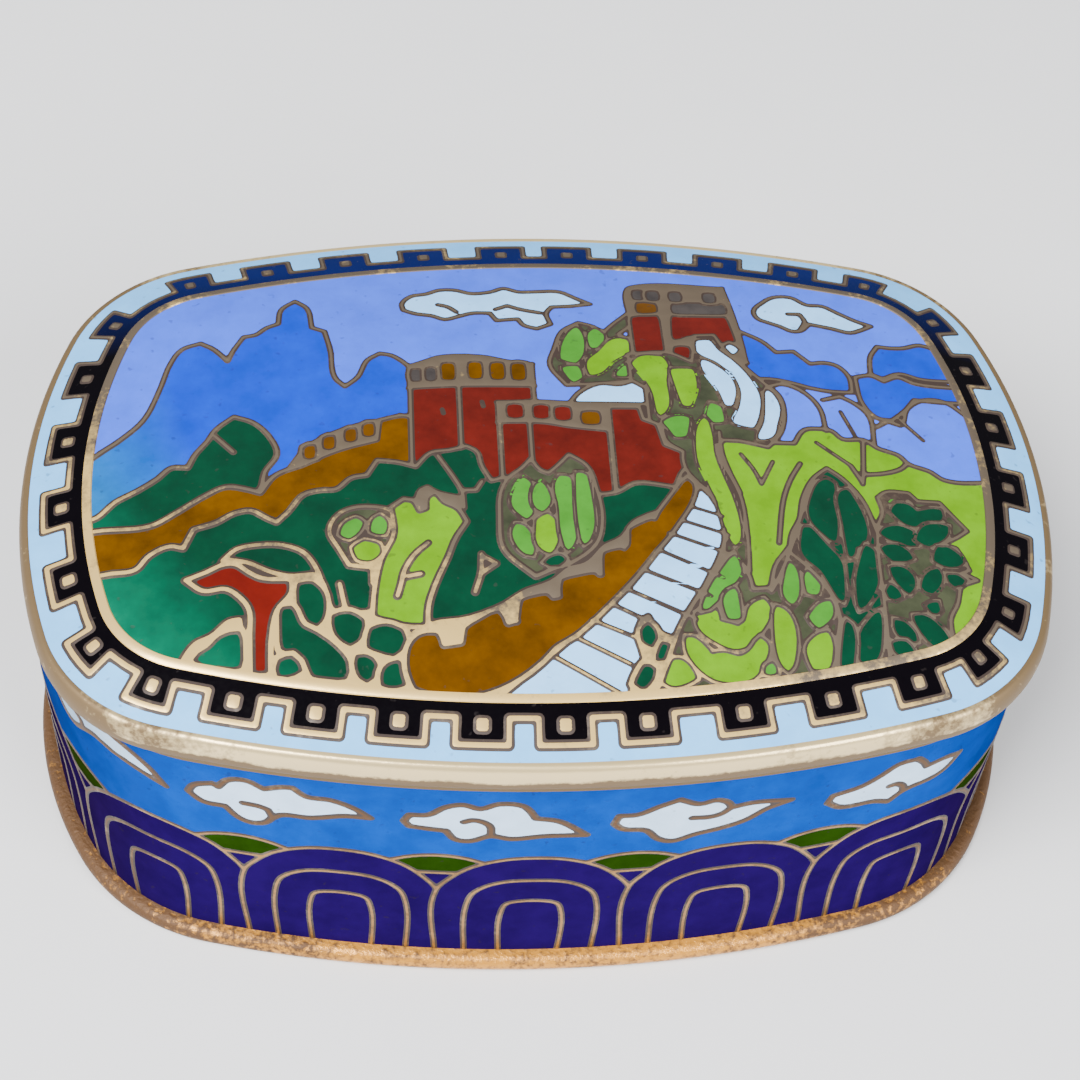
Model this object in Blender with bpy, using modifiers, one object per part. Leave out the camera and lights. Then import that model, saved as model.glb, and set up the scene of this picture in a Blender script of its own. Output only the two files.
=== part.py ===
"""Oval-cornered cloisonne enamel box with a domed lift-off lid.

Frame: +Z up, +X along the length, the viewer at -Y. The origin is at the centre of the footprint, on the
surface that the box stands on. Lengths are in metres. Run it with: blender --background --python part.py

The lid and the base each follow a plan outline: two long bowed sides, two short bowed ends and four corner
arcs, all tangent. The base is a little longer and rounder than the lid. An inset is a distance from an
outline towards the middle, measured square to it.
"""

import math
from collections import namedtuple

import bmesh
import bpy

# Plan outline of the lid, over its brass rim.
LENGTH = 0.082
WIDTH = 0.056
LONG_SIDE_RADIUS = 0.115
SHORT_SIDE_RADIUS = 0.050
CORNER_RADIUS = 0.0135

# Plan outline of the base, over its foot ring: how far each end and each side stands out past the lid.
BASE_END_OVERHANG = 0.0016
BASE_SIDE_OVERHANG = 0.0002
BASE_LONG_SIDE_RADIUS = 0.117
BASE_SHORT_SIDE_RADIUS = 0.034
BASE_CORNER_RADIUS = 0.0172

# Gap left between two pieces that touch, are soldered or are fused together.
SEAM = 0.0003

# Foot ring, a brass wire flattened on its upper and lower sides.
FOOT_HEIGHT = 0.0016
FOOT_ROUNDING = 0.0008

# Wall of the base, from the enamel face inwards.
WALL_INSET = 0.0013
WALL_ENAMEL = 0.0008
WALL_COPPER = 0.0012
WALL_HEIGHT = 0.0235

# Floor of the base.
FLOOR_RECESS = 0.0004
FLOOR_ENAMEL = 0.0004
FLOOR_CORNER_RADIUS = 0.0022

# Brass rim on the mouth of the base, and the collar that keeps the lid in place.
MOUTH_RIM_HEIGHT = 0.0010
COLLAR_THICKNESS = 0.0008
COLLAR_DEPTH = 0.0070
COLLAR_STANDS_UP = 0.0016

# Brass band round the edge of the lid.
LID_RIM_HEIGHT = 0.0029
LID_RIM_BULGE = 0.0006
LID_RIM_LIP = 0.0006

# Lid, stamped from copper sheet, with its edge turned down inside the band. It slips over the collar.
LID_COPPER = 0.0007
LID_CLEARANCE = 0.0003
LID_SKIRT_ROUNDING = 0.0008
LID_ENAMEL = 0.0008
BORDER_WIDTH = 0.0046
BORDER_RISE = 0.0015
BORDER_SWELL = 0.12
PANEL_RISE = 0.0022
PANEL_WIRE_WIDTH = 0.0006

# Facets: points on each arc of a quarter of the outline, and rings across the dome.
LONG_SIDE_STEPS = 4
CORNER_STEPS = 7
SHORT_SIDE_STEPS = 3
BORDER_STEPS = 3
PANEL_RINGS = (0.82, 0.60, 0.36, 0.12)
ROUNDING_STEPS = 6
FLOOR_CORNER_STEPS = 3

# Finishes: colour, roughness, metallic value.
BRASS = (0.72, 0.55, 0.28, 1.0), 0.35, 1.0
COPPER = (0.62, 0.33, 0.20, 1.0), 0.40, 1.0
ENAMEL_WALL = (0.07, 0.06, 0.36, 1.0), 0.18, 0.0
ENAMEL_BORDER = (0.52, 0.72, 0.95, 1.0), 0.18, 0.0
ENAMEL_PICTURE = (0.04, 0.30, 0.22, 1.0), 0.18, 0.0
ENAMEL_PLAIN = (0.10, 0.35, 0.62, 1.0), 0.22, 0.0

# Insets and heights worked out from the sizes above.
WALL_COPPER_INSET = WALL_INSET + WALL_ENAMEL + SEAM
WALL_INNER_INSET = WALL_COPPER_INSET + WALL_COPPER
FOOT_INNER_INSET = WALL_COPPER_INSET - SEAM
COLLAR_INSET = WALL_INNER_INSET + SEAM
FLOOR_UNDERSIDE = FLOOR_RECESS + FLOOR_ENAMEL + SEAM
WALL_BOTTOM = FOOT_HEIGHT + SEAM
WALL_TOP = WALL_BOTTOM + WALL_HEIGHT
MOUTH_BOTTOM = WALL_TOP + SEAM
MOUTH_TOP = MOUTH_BOTTOM + MOUTH_RIM_HEIGHT
LID_BOTTOM = MOUTH_TOP + SEAM
LID_RIM_TOP = LID_BOTTOM + LID_RIM_HEIGHT
LID_SKIRT_INSET = COLLAR_INSET - BASE_END_OVERHANG - LID_CLEARANCE - LID_COPPER
LID_RIM_INNER_INSET = LID_SKIRT_INSET - SEAM
BORDER_INSET = LID_RIM_LIP + SEAM
PANEL_WIRE_INSET = BORDER_INSET + BORDER_WIDTH
PANEL_EDGE_INSET = PANEL_WIRE_INSET + PANEL_WIRE_WIDTH / 2

Plan = namedtuple("Plan", "half_length half_width long_radius short_radius corner_radius")
LID_PLAN = Plan(
    LENGTH / 2,
    WIDTH / 2,
    LONG_SIDE_RADIUS,
    SHORT_SIDE_RADIUS,
    CORNER_RADIUS,
)
BASE_PLAN = Plan(
    LENGTH / 2 + BASE_END_OVERHANG,
    WIDTH / 2 + BASE_SIDE_OVERHANG,
    BASE_LONG_SIDE_RADIUS,
    BASE_SHORT_SIDE_RADIUS,
    BASE_CORNER_RADIUS,
)


def arc(centre, radius, start, end, steps):
    """Points on an arc, without its last one, as (x, y, outward angle)."""
    turns = [start + (end - start) * step / steps for step in range(steps)]
    return [
        (centre[0] + radius * math.cos(a), centre[1] + radius * math.sin(a), a)
        for a in turns
    ]


def arc_centres(plan):
    """Centres of the long side's arc, of the short side's, and of the corner's, tangent to both."""
    long_centre = (0.0, plan.half_width - plan.long_radius)
    short_centre = (plan.half_length - plan.short_radius, 0.0)
    reach_long = plan.long_radius - plan.corner_radius
    reach_short = plan.short_radius - plan.corner_radius
    gap = (short_centre[0] - long_centre[0], short_centre[1] - long_centre[1])
    apart = math.hypot(*gap)
    along = (reach_long**2 - reach_short**2 + apart**2) / (2 * apart)
    across = math.sqrt(reach_long**2 - along**2)
    unit = (gap[0] / apart, gap[1] / apart)
    corner = (
        long_centre[0] + unit[0] * along + unit[1] * across,
        long_centre[1] + unit[1] * along - unit[0] * across,
    )
    return long_centre, short_centre, corner


def outline_quarter(plan):
    """The first quarter of a plan outline, from the +X end to the +Y side, with outward angles."""
    long_centre, short_centre, corner = arc_centres(plan)
    to_short = math.atan2(corner[1] - short_centre[1], corner[0] - short_centre[0])
    to_long = math.atan2(corner[1] - long_centre[1], corner[0] - long_centre[0])
    square = math.pi / 2
    return (
        arc(short_centre, plan.short_radius, 0.0, to_short, SHORT_SIDE_STEPS)
        + arc(corner, plan.corner_radius, to_short, to_long, CORNER_STEPS)
        + arc(long_centre, plan.long_radius, to_long, square, LONG_SIDE_STEPS)
        + [(0.0, plan.half_width, square)]
    )


def outline(plan):
    """A whole plan outline, anticlockwise, as (x, y, outward angle)."""
    first = outline_quarter(plan)
    second = [(-x, y, math.pi - a) for x, y, a in reversed(first[:-1])]
    half = first + second
    return half + [(-x, -y, a + math.pi) for x, y, a in half[1:-1]]


def ring(plan, inset, height, scale=1.0):
    """Points of an outline moved in by an inset, at a height, drawn in to the middle by a scale."""
    return [
        (
            (x - inset * math.cos(a)) * scale,
            (y - inset * math.sin(a)) * scale,
            height,
        )
        for x, y, a in outline(plan)
    ]


def border_height(inset):
    """Height of the enamel face at an inset within the lid's border."""
    share = (inset - BORDER_INSET) / BORDER_WIDTH
    return LID_RIM_TOP + BORDER_RISE * (share + BORDER_SWELL * share * (1 - share))


def panel_height(scale):
    """Height of the enamel face inside the panel wire, where scale is 1 at the wire and 0 at the middle."""
    return border_height(PANEL_WIRE_INSET) + PANEL_RISE * (1 - scale**2)


def finish(name, look):
    """Gives an object its own material."""
    colour, roughness, metallic = look
    material = bpy.data.materials.new(name)
    material.use_nodes = True
    shader = material.node_tree.nodes["Principled BSDF"]
    shader.inputs["Base Color"].default_value = colour
    shader.inputs["Roughness"].default_value = roughness
    shader.inputs["Metallic"].default_value = metallic
    material.diffuse_color = colour
    return material


def add(name, data, look, collection):
    """A named object with its material, in the box's collection."""
    piece = bpy.data.objects.new(name, data)
    data.materials.append(finish(name, look))
    collection.objects.link(piece)
    return piece


def closed_spline(curve, points):
    """A closed run of straight pieces in a curve."""
    spline = curve.splines.new("POLY")
    spline.points.add(len(points) - 1)
    for point, place in zip(spline.points, points):
        point.co = (*place, 1.0)
    spline.use_cyclic_u = True


def swept_ring(name, plan, profile, look, collection, guides):
    """A closed ring: a profile of (inset, height) points carried round a plan outline."""
    section = bpy.data.curves.new(name + "_profile", "CURVE")
    section.dimensions = "2D"
    section.fill_mode = "NONE"
    inwards = [(-inset, height, 0.0) for inset, height in reversed(profile)]
    closed_spline(section, inwards)
    guide = bpy.data.objects.new(name + "_profile", section)
    guide.hide_render = True
    guide.display_type = "WIRE"
    guides.objects.link(guide)
    path = bpy.data.curves.new(name, "CURVE")
    path.dimensions = "3D"
    path.twist_mode = "Z_UP"
    path.bevel_mode = "OBJECT"
    path.bevel_object = guide
    closed_spline(path, ring(plan, 0.0, 0.0))
    return add(name, path, look, collection)


def shell(name, rings, thickness, look, collection, capped=True):
    """An open surface bridged from ring to ring, given its thickness on the inner side by Solidify.

    The rings run from the outer edge to the middle, and the last is filled where the shell is capped.
    """
    mesh = bpy.data.meshes.new(name)
    sheet = bmesh.new()
    loops = []
    for places in rings:
        corners = [sheet.verts.new(place) for place in places]
        loops.append(
            [
                sheet.edges.new((corner, corners[i - 1]))
                for i, corner in enumerate(corners)
            ]
        )
    for outer, inner in zip(loops, loops[1:]):
        bmesh.ops.bridge_loops(sheet, edges=outer + inner)
    if capped:
        bmesh.ops.edgeloop_fill(sheet, edges=loops[-1])
    bmesh.ops.recalc_face_normals(sheet, faces=sheet.faces)
    sheet.to_mesh(mesh)
    sheet.free()
    piece = add(name, mesh, look, collection)
    wall = piece.modifiers.new("thickness", "SOLIDIFY")
    wall.thickness = thickness
    wall.offset = -1.0
    wall.use_even_offset = True
    return piece


def plate(name, places, bottom, thickness, look, collection):
    """A flat plate: one filled outline, with Solidify to both sides of it."""
    mesh = bpy.data.meshes.new(name)
    sheet = bmesh.new()
    sheet.faces.new([sheet.verts.new(place) for place in places])
    sheet.to_mesh(mesh)
    sheet.free()
    piece = add(name, mesh, look, collection)
    piece.location.z = bottom + thickness / 2
    slab = piece.modifiers.new("thickness", "SOLIDIFY")
    slab.thickness = thickness
    slab.offset = 0.0
    return piece


def half_round(inset, middle, width, half_height, steps):
    """Points of a rounded outer side, from its bottom to its top, as (inset, height).

    The inset is that of the furthest point out, and the width is how far the side falls back from it.
    """
    turns = [math.pi * step / steps for step in range(steps + 1)]
    return [
        (
            inset + width * (1 - math.sin(turn)),
            middle - half_height * math.cos(turn),
        )
        for turn in turns
    ]


def rectangle(inset, bottom, width, height):
    """A rectangular profile, as (inset, height) points."""
    return [
        (inset + width, bottom),
        (inset, bottom),
        (inset, bottom + height),
        (inset + width, bottom + height),
    ]


def build_base(box, guides):
    """The foot ring, the copper cup with its enamel, the mouth rim and the collar."""
    foot = half_round(
        0.0,
        FOOT_HEIGHT / 2,
        FOOT_ROUNDING,
        FOOT_HEIGHT / 2,
        ROUNDING_STEPS,
    )
    foot_profile = [(FOOT_INNER_INSET, 0.0)] + foot + [(FOOT_INNER_INSET, FOOT_HEIGHT)]
    swept_ring("base_foot_ring", BASE_PLAN, foot_profile, BRASS, box, guides)

    turns = [
        math.pi / 2 * step / FLOOR_CORNER_STEPS
        for step in range(FLOOR_CORNER_STEPS + 1)
    ]
    cup = [ring(BASE_PLAN, WALL_COPPER_INSET, WALL_TOP)] + [
        ring(
            BASE_PLAN,
            WALL_COPPER_INSET + FLOOR_CORNER_RADIUS * (1 - math.cos(turn)),
            FLOOR_UNDERSIDE + FLOOR_CORNER_RADIUS * (1 - math.sin(turn)),
        )
        for turn in turns
    ]
    shell("base_shell", cup, WALL_COPPER, COPPER, box)

    wall = rectangle(WALL_INSET, WALL_BOTTOM, WALL_ENAMEL, WALL_HEIGHT)
    swept_ring("base_wall_enamel", BASE_PLAN, wall, ENAMEL_WALL, box, guides)
    plate(
        "base_under_enamel",
        ring(BASE_PLAN, WALL_COPPER_INSET + FLOOR_CORNER_RADIUS, 0.0),
        FLOOR_RECESS,
        FLOOR_ENAMEL,
        ENAMEL_PLAIN,
        box,
    )
    mouth = rectangle(
        WALL_INSET,
        MOUTH_BOTTOM,
        WALL_INNER_INSET - WALL_INSET,
        MOUTH_RIM_HEIGHT,
    )
    swept_ring("base_mouth_rim", BASE_PLAN, mouth, BRASS, box, guides)
    collar = rectangle(
        COLLAR_INSET,
        MOUTH_TOP - COLLAR_DEPTH,
        COLLAR_THICKNESS,
        COLLAR_DEPTH + COLLAR_STANDS_UP,
    )
    swept_ring("base_collar", BASE_PLAN, collar, BRASS, box, guides)


def build_lid(box, guides):
    """The copper lid, the band round it, and the enamel and wire that cover it."""
    middle = LID_BOTTOM + LID_RIM_HEIGHT / 2
    side = half_round(0.0, middle, LID_RIM_BULGE, LID_RIM_HEIGHT / 2, ROUNDING_STEPS)
    step = LID_RIM_TOP - LID_ENAMEL - SEAM
    rim = (
        [(LID_RIM_INNER_INSET, LID_BOTTOM)]
        + side
        + [(LID_RIM_LIP, step), (LID_RIM_INNER_INSET, step)]
    )
    swept_ring("lid_rim", LID_PLAN, rim, BRASS, box, guides)

    below = LID_ENAMEL + SEAM
    rounding = LID_SKIRT_INSET + LID_SKIRT_ROUNDING
    skirt_top = border_height(LID_SKIRT_INSET) - below - LID_SKIRT_ROUNDING
    dome = [
        ring(LID_PLAN, LID_SKIRT_INSET, LID_BOTTOM),
        ring(LID_PLAN, LID_SKIRT_INSET, skirt_top),
    ]
    for turned in range(BORDER_STEPS):
        inset = rounding + (PANEL_WIRE_INSET - rounding) * turned / BORDER_STEPS
        dome.append(ring(LID_PLAN, inset, border_height(inset) - below))
    for scale in (1.0, *PANEL_RINGS):
        height = panel_height(scale) - below
        dome.append(ring(LID_PLAN, PANEL_WIRE_INSET, height, scale))
    shell("lid_shell", dome, LID_COPPER, COPPER, box)

    border_end = PANEL_WIRE_INSET - PANEL_WIRE_WIDTH / 2 - SEAM
    border = []
    for across in range(BORDER_STEPS + 1):
        inset = BORDER_INSET + (border_end - BORDER_INSET) * across / BORDER_STEPS
        border.append(ring(LID_PLAN, inset, border_height(inset)))
    shell("lid_border_enamel", border, LID_ENAMEL, ENAMEL_BORDER, box, capped=False)

    wire_bottom = border_height(PANEL_WIRE_INSET) - LID_ENAMEL
    wire = rectangle(
        PANEL_WIRE_INSET - PANEL_WIRE_WIDTH / 2,
        wire_bottom,
        PANEL_WIRE_WIDTH,
        LID_ENAMEL,
    )
    swept_ring("lid_panel_wire", LID_PLAN, wire, BRASS, box, guides)

    picture = [
        ring(LID_PLAN, PANEL_EDGE_INSET + SEAM, panel_height(scale), scale)
        for scale in (1.0, *PANEL_RINGS)
    ]
    shell("lid_picture_enamel", picture, LID_ENAMEL, ENAMEL_PICTURE, box)


def main():
    for old in list(bpy.data.objects):
        bpy.data.objects.remove(old)
    box = bpy.data.collections.new("cloisonne_box")
    guides = bpy.data.collections.new("profiles")
    bpy.context.scene.collection.children.link(box)
    bpy.context.scene.collection.children.link(guides)
    build_base(box, guides)
    build_lid(box, guides)


main()
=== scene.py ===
"""Looks of an oval-cornered cloisonne enamel box with a domed lift-off lid.

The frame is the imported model, in metres: +Z up, +X along the length, the viewer at -Y. The enamel is drawn
flat in millimetres, as cells of one colour each with brass wire along their edges, and then laid on the lid
and on the wall. On the lid a drawing's x and y are the plan. On the wall they are the way round, measured
along the face from the front's middle, and the height.
"""

import math
from collections import namedtuple

import bpy
import numpy as np
from mathutils import Matrix, Vector
from mathutils.geometry import delaunay_2d_cdt


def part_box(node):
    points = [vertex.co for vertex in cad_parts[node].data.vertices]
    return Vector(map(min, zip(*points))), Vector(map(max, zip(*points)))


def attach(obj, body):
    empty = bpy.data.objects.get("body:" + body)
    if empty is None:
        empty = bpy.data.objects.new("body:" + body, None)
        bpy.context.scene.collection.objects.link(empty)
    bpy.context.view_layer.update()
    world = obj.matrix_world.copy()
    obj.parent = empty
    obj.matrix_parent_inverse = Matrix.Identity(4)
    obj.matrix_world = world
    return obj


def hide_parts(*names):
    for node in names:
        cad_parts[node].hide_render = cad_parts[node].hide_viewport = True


bl_info = {
    "name": "Cloisonne enamel box",
    "version": (1, 0, 0),
    "blender": (4, 5, 0),
    "location": "View3D > Sidebar > Enamel box",
    "description": "Builds the enamel, the wires and the brass of a small lidded box",
    "category": "Object",
}

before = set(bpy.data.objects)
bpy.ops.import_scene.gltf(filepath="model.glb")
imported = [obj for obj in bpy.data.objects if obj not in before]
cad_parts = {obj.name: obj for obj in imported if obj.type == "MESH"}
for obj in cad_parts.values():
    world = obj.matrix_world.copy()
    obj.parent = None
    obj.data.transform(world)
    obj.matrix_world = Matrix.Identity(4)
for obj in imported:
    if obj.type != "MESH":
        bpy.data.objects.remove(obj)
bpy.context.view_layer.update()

MM = 0.001

Plan = namedtuple("Plan", "half_length half_width long_radius short_radius corner_radius")
Arc = namedtuple("Arc", "centre radius start turn")
Cell = namedtuple("Cell", "colour outline wire")
Drawing = namedtuple("Drawing", "cells strokes")
Fade = namedtuple("Fade", "near far along start end")
Ends = namedtuple("Ends", "near far start end")

# Radii of the plan outlines, in millimetres.
LID_LONG_RADIUS = 115.0
LID_SHORT_RADIUS = 50.0
LID_CORNER_RADIUS = 13.5
BASE_LONG_RADIUS = 117.0
BASE_SHORT_RADIUS = 34.0
BASE_CORNER_RADIUS = 17.2

# Insets from the plan outlines, in millimetres.
WALL_INSET = 1.3
WALL_DEPTH = 2.3
BORDER_INSET = 0.7
PANEL_INSET = 5.5

# The lid's wires grow wider along this way, between these two places, in millimetres from the middle.
TOWARDS_THE_BACK = (0.35, 1.0, 0.0)
FRONT_SPREAD = 0.6
SPREAD_START = -4.0
SPREAD_END = -24.0

# Wires of leaves: how far outside their enamel they lie, in millimetres, and their share of the width.
LEAF_MARGIN = 0.18
LEAFLET_MARGIN = 0.36
THIN = 0.7

# Painted shade: how far the base's enamel darkens towards both ends, in millimetres from the middle.
PAINTED_SHADE_ENDS = Ends(near=0.0, far=1.0, start=29.0, end=41.0)

HOLE = "hole"
METAL = "metal"
SHARP_TURN = math.radians(50)

# How closely outlines, sheets and rings follow their curves, in millimetres.
PATH_STEP = 0.4
WALL_EDGE_STEP = 1.2
PICTURE_STEP = 1.6
BORDER_STEP = 1.2
WALL_STEP = 1.5
RING_STEP = 0.7
MERGE_DISTANCE = 0.002

# Turns up to which the pieces are shaded smooth.
ENAMEL_TURN = math.radians(40)
WIRE_TURN = math.radians(25)
RING_TURN = math.radians(35)


def top_of(node):
    """Height of a CAD node's top, in millimetres."""
    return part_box(node)[1][2] / MM


def bottom_of(node):
    """Height of a CAD node's underside, in millimetres."""
    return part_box(node)[0][2] / MM


def plan_of(node, long_radius, short_radius, corner_radius):
    """The plan outline that a CAD node reaches out to."""
    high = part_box(node)[1]
    return Plan(high[0] / MM, high[1] / MM, long_radius, short_radius, corner_radius)


LID_PLAN = plan_of("lid_rim", LID_LONG_RADIUS, LID_SHORT_RADIUS, LID_CORNER_RADIUS)
BASE_PLAN = plan_of("base_foot_ring", BASE_LONG_RADIUS, BASE_SHORT_RADIUS, BASE_CORNER_RADIUS)


def srgb(red, green, blue):
    """A colour as Blender keeps it, from values of 0 to 255."""
    return tuple(
        part / 12.92 if part <= 0.04045 else ((part + 0.055) / 1.055) ** 2.4
        for part in (red / 255, green / 255, blue / 255)
    )


def colour_prop(name, description, red, green, blue):
    """A colour that can be changed in the panel."""
    return bpy.props.FloatVectorProperty(
        name=name,
        description=description,
        default=srgb(red, green, blue),
        size=3,
        min=0.0,
        max=1.0,
        subtype="COLOR",
    )


def length_prop(name, description, millimetres):
    """A length that can be changed in the panel."""
    return bpy.props.FloatProperty(
        name=name,
        description=description,
        default=millimetres * MM,
        min=0.0,
        subtype="DISTANCE",
        unit="LENGTH",
    )


class BoxSizes(bpy.types.PropertyGroup):
    """Sizes of the wires and of the enamel."""

    wire_width: length_prop("Wire width", "Width of a wire's top between two cells of enamel", 0.38)
    wire_proud: length_prop("Wire proud", "How far the wires stand above the enamel", 0.05)
    wire_edge: length_prop("Wire edge", "Width of a wire's sloped and darkened edge", 0.15)
    wire_depth: length_prop("Wire depth", "How far a wire goes down into the enamel", 0.35)
    panel_wire: length_prop("Panel wire width", "Width of the wire round the picture", 0.8)
    enamel_depth: length_prop("Enamel depth", "Thickness of the enamel coat", 0.80)


class BoxColours(bpy.types.PropertyGroup):
    """Colours of the enamel and of the metal."""

    sky: colour_prop("Sky", "Periwinkle enamel of the sky", 58, 96, 230)
    azure: colour_prop("Azure", "Enamel of the far mountains", 0, 54, 190)
    teal: colour_prop("Teal", "Paler tone at the foot of the mountains", 8, 100, 165)
    dark_green: colour_prop("Dark green", "Enamel of the nearer woods", 0, 54, 34)
    leaf_green: colour_prop("Leaf green", "Lighter tone of the woods", 0, 96, 70)
    ochre: colour_prop("Ochre", "Enamel of the wall across the hills", 92, 58, 2)
    brown: colour_prop("Brown", "Browner tone of the wall across the hills", 88, 54, 4)
    brick: colour_prop("Brick", "Enamel of the towers", 88, 20, 13)
    rust: colour_prop("Rust", "Enamel of the red tree", 94, 20, 14)
    lime: colour_prop("Lime", "Enamel of the sunlit hill", 94, 145, 0)
    pale_green: colour_prop("Pale green", "Enamel of the bushes", 61, 128, 36)
    moss: colour_prop("Moss", "Grey-green enamel between the leaves", 60, 64, 46)
    grey: colour_prop("Grey", "Enamel of the parapets in shade", 61, 56, 54)
    white: colour_prop("White", "Enamel of the clouds on the lid", 140, 200, 252)
    border_blue: colour_prop("Border blue", "Light-blue enamel of the lid's border", 110, 185, 246)
    black: colour_prop("Black", "Black enamel of the lid's border", 6, 4, 7)
    # Painted reflection: the blue that the black takes on towards the far side.
    far_side_reflection: colour_prop("Cobalt", "Blue tone of the black on the far side", 5, 20, 76)
    body_blue: colour_prop("Body blue", "Blue enamel of the base", 0, 66, 160)
    body_white: colour_prop("Body white", "Enamel of the clouds on the base", 190, 218, 246)
    navy: colour_prop("Navy", "Navy enamel of the arches", 28, 4, 72)
    olive: colour_prop("Olive", "Olive enamel between the arches", 30, 56, 8)
    # Bright brass of the lid's wires, kept towards the front as a painted highlight.
    wire: colour_prop("Wire", "Bright brass of the wires", 226, 190, 116)
    wall_wire: colour_prop("Wall wire", "Brass of the wires on the base", 146, 104, 44)
    # Darker brass, also the painted shade on the lid's wires towards the back.
    wire_shade: colour_prop("Wire shade", "Darkened brass of the wires", 92, 80, 66)
    # Dark patina along the wires, with painted shade in the crevices beside them.
    wire_side_patina_and_shade: colour_prop("Wire side", "Dark dirt along the wires", 50, 38, 32)
    # Painted highlight and painted shade of the lid's band: cream on its upper half at the front, darker low
    # down and towards both ends.
    band: colour_prop("Band", "Rubbed brass of the lid's band", 222, 198, 146)
    band_shade: colour_prop("Band shade", "Darker brass low on the lid's band", 112, 92, 64)
    brass: colour_prop("Brass", "Brass of the foot and the collar", 194, 132, 42)
    tarnish_and_shade: colour_prop("Tarnish", "Brown tarnish on the brass", 84, 56, 28)
    # Painted shade: the dark brown that darkens the ends of the base.
    end_shade: colour_prop("Grime", "Dark brown that has gathered at the ends of the base", 22, 12, 10)
    counter: colour_prop("Counter enamel", "Plain enamel under the box and inside", 14, 74, 140)


def sizes():
    """The sizes as the panel has them."""
    return bpy.context.scene.cloisonne_sizes


def colours():
    """The colours as the panel has them."""
    return bpy.context.scene.cloisonne_colours


def half_wire(x, y):
    """Half of a wire's width with its edges, at a place on the lid, in millimetres."""
    return (sizes().wire_width + sizes().wire_edge) / 2 / MM * spread(x, y)


def spread(x, y):
    """Width of a wire on the lid as a share of that at the back, for it grows towards the front and left."""
    along = Vector(TOWARDS_THE_BACK).normalized()
    forward = (SPREAD_START - along.x * x - along.y * y) / (SPREAD_START - SPREAD_END)
    return 1.0 + FRONT_SPREAD * np.clip(forward, 0.0, 1.0)


def even(x, y):
    """Wires of the same width everywhere."""
    return 1.0 + 0 * x * y


# Plan outlines


def arc_centres(plan):
    """Centres of the long side's arc, of the short side's, and of the corner's, tangent to both."""
    long_centre = Vector((0.0, plan.half_width - plan.long_radius))
    short_centre = Vector((plan.half_length - plan.short_radius, 0.0))
    reach_long = plan.long_radius - plan.corner_radius
    reach_short = plan.short_radius - plan.corner_radius
    gap = short_centre - long_centre
    along = (reach_long**2 - reach_short**2 + gap.length_squared) / (2 * gap.length)
    across = math.sqrt(reach_long**2 - along**2)
    unit = gap.normalized()
    corner = long_centre + unit * along + Vector((unit.y, -unit.x)) * across
    return long_centre, short_centre, corner


def corner_angles(plan):
    """Outward angles at which the corner's arc starts, at the short side, and ends, at the long one."""
    long_centre, short_centre, corner = arc_centres(plan)
    from_short = corner - short_centre
    from_long = corner - long_centre
    return math.atan2(from_short.y, from_short.x), math.atan2(from_long.y, from_long.x)


def track(plan, inset=0.0):
    """The arcs of an outline at an inset, anticlockwise from the middle of the front."""
    long_centre, short_centre, corner = arc_centres(plan)
    to_short, to_long = corner_angles(plan)
    square = math.pi / 2
    quarter = [
        (long_centre, plan.long_radius - inset, to_long, square),
        (corner, plan.corner_radius - inset, to_short, to_long),
        (short_centre, plan.short_radius - inset, 0.0, to_short),
    ]
    arcs = []
    for side_x, side_y in ((1, -1), (1, 1), (-1, 1), (-1, -1)):
        run = quarter if side_x * side_y < 0 else quarter[::-1]
        for centre, radius, low, high in run:
            ends = [math.atan2(side_y * math.sin(a), side_x * math.cos(a)) for a in (low, high)]
            start, end = sorted(ends)
            if end - start > math.pi:
                start, end = end, start + 2 * math.pi
            place = Vector((side_x * centre.x, side_y * centre.y))
            arcs.append(Arc(place, radius, start, end - start))
    return arcs


def track_length(arcs):
    """Length once round a track."""
    return sum(arc.radius * arc.turn for arc in arcs)


def on_track(arcs, around, outwards=0.0):
    """The point at a length along a track, from its start, moved outwards from it."""
    left = around % track_length(arcs)
    for arc in arcs:
        length = arc.radius * arc.turn
        if left <= length:
            break
        left -= length
    angle = arc.start + left / arc.radius
    reach = arc.radius + outwards
    return arc.centre + Vector((math.cos(angle), math.sin(angle))) * reach


def ring(plan, inset, step=PATH_STEP):
    """Evenly spaced points round an outline at an inset."""
    arcs = track(plan, inset)
    length = track_length(arcs)
    count = math.ceil(length / step)
    return [on_track(arcs, length * i / count) for i in range(count)]


# Surfaces: a flat drawing's x, y and height above the enamel, in millimetres, to a place in metres


def insets_of(plan, x, y):
    """How far in from the plan outline each point is."""
    long_centre, short_centre, corner = arc_centres(plan)
    to_short, to_long = corner_angles(plan)
    x, y = np.abs(x), np.abs(y)
    from_long = plan.long_radius - np.hypot(x - long_centre.x, y - long_centre.y)
    from_short = plan.short_radius - np.hypot(x - short_centre.x, y - short_centre.y)
    from_corner = plan.corner_radius - np.hypot(x - corner.x, y - corner.y)
    angle = np.arctan2(y - corner.y, x - corner.x)
    in_corner = (angle > to_short) & (angle < to_long)
    return np.where(in_corner, from_corner, np.minimum(from_long, from_short))


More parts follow.
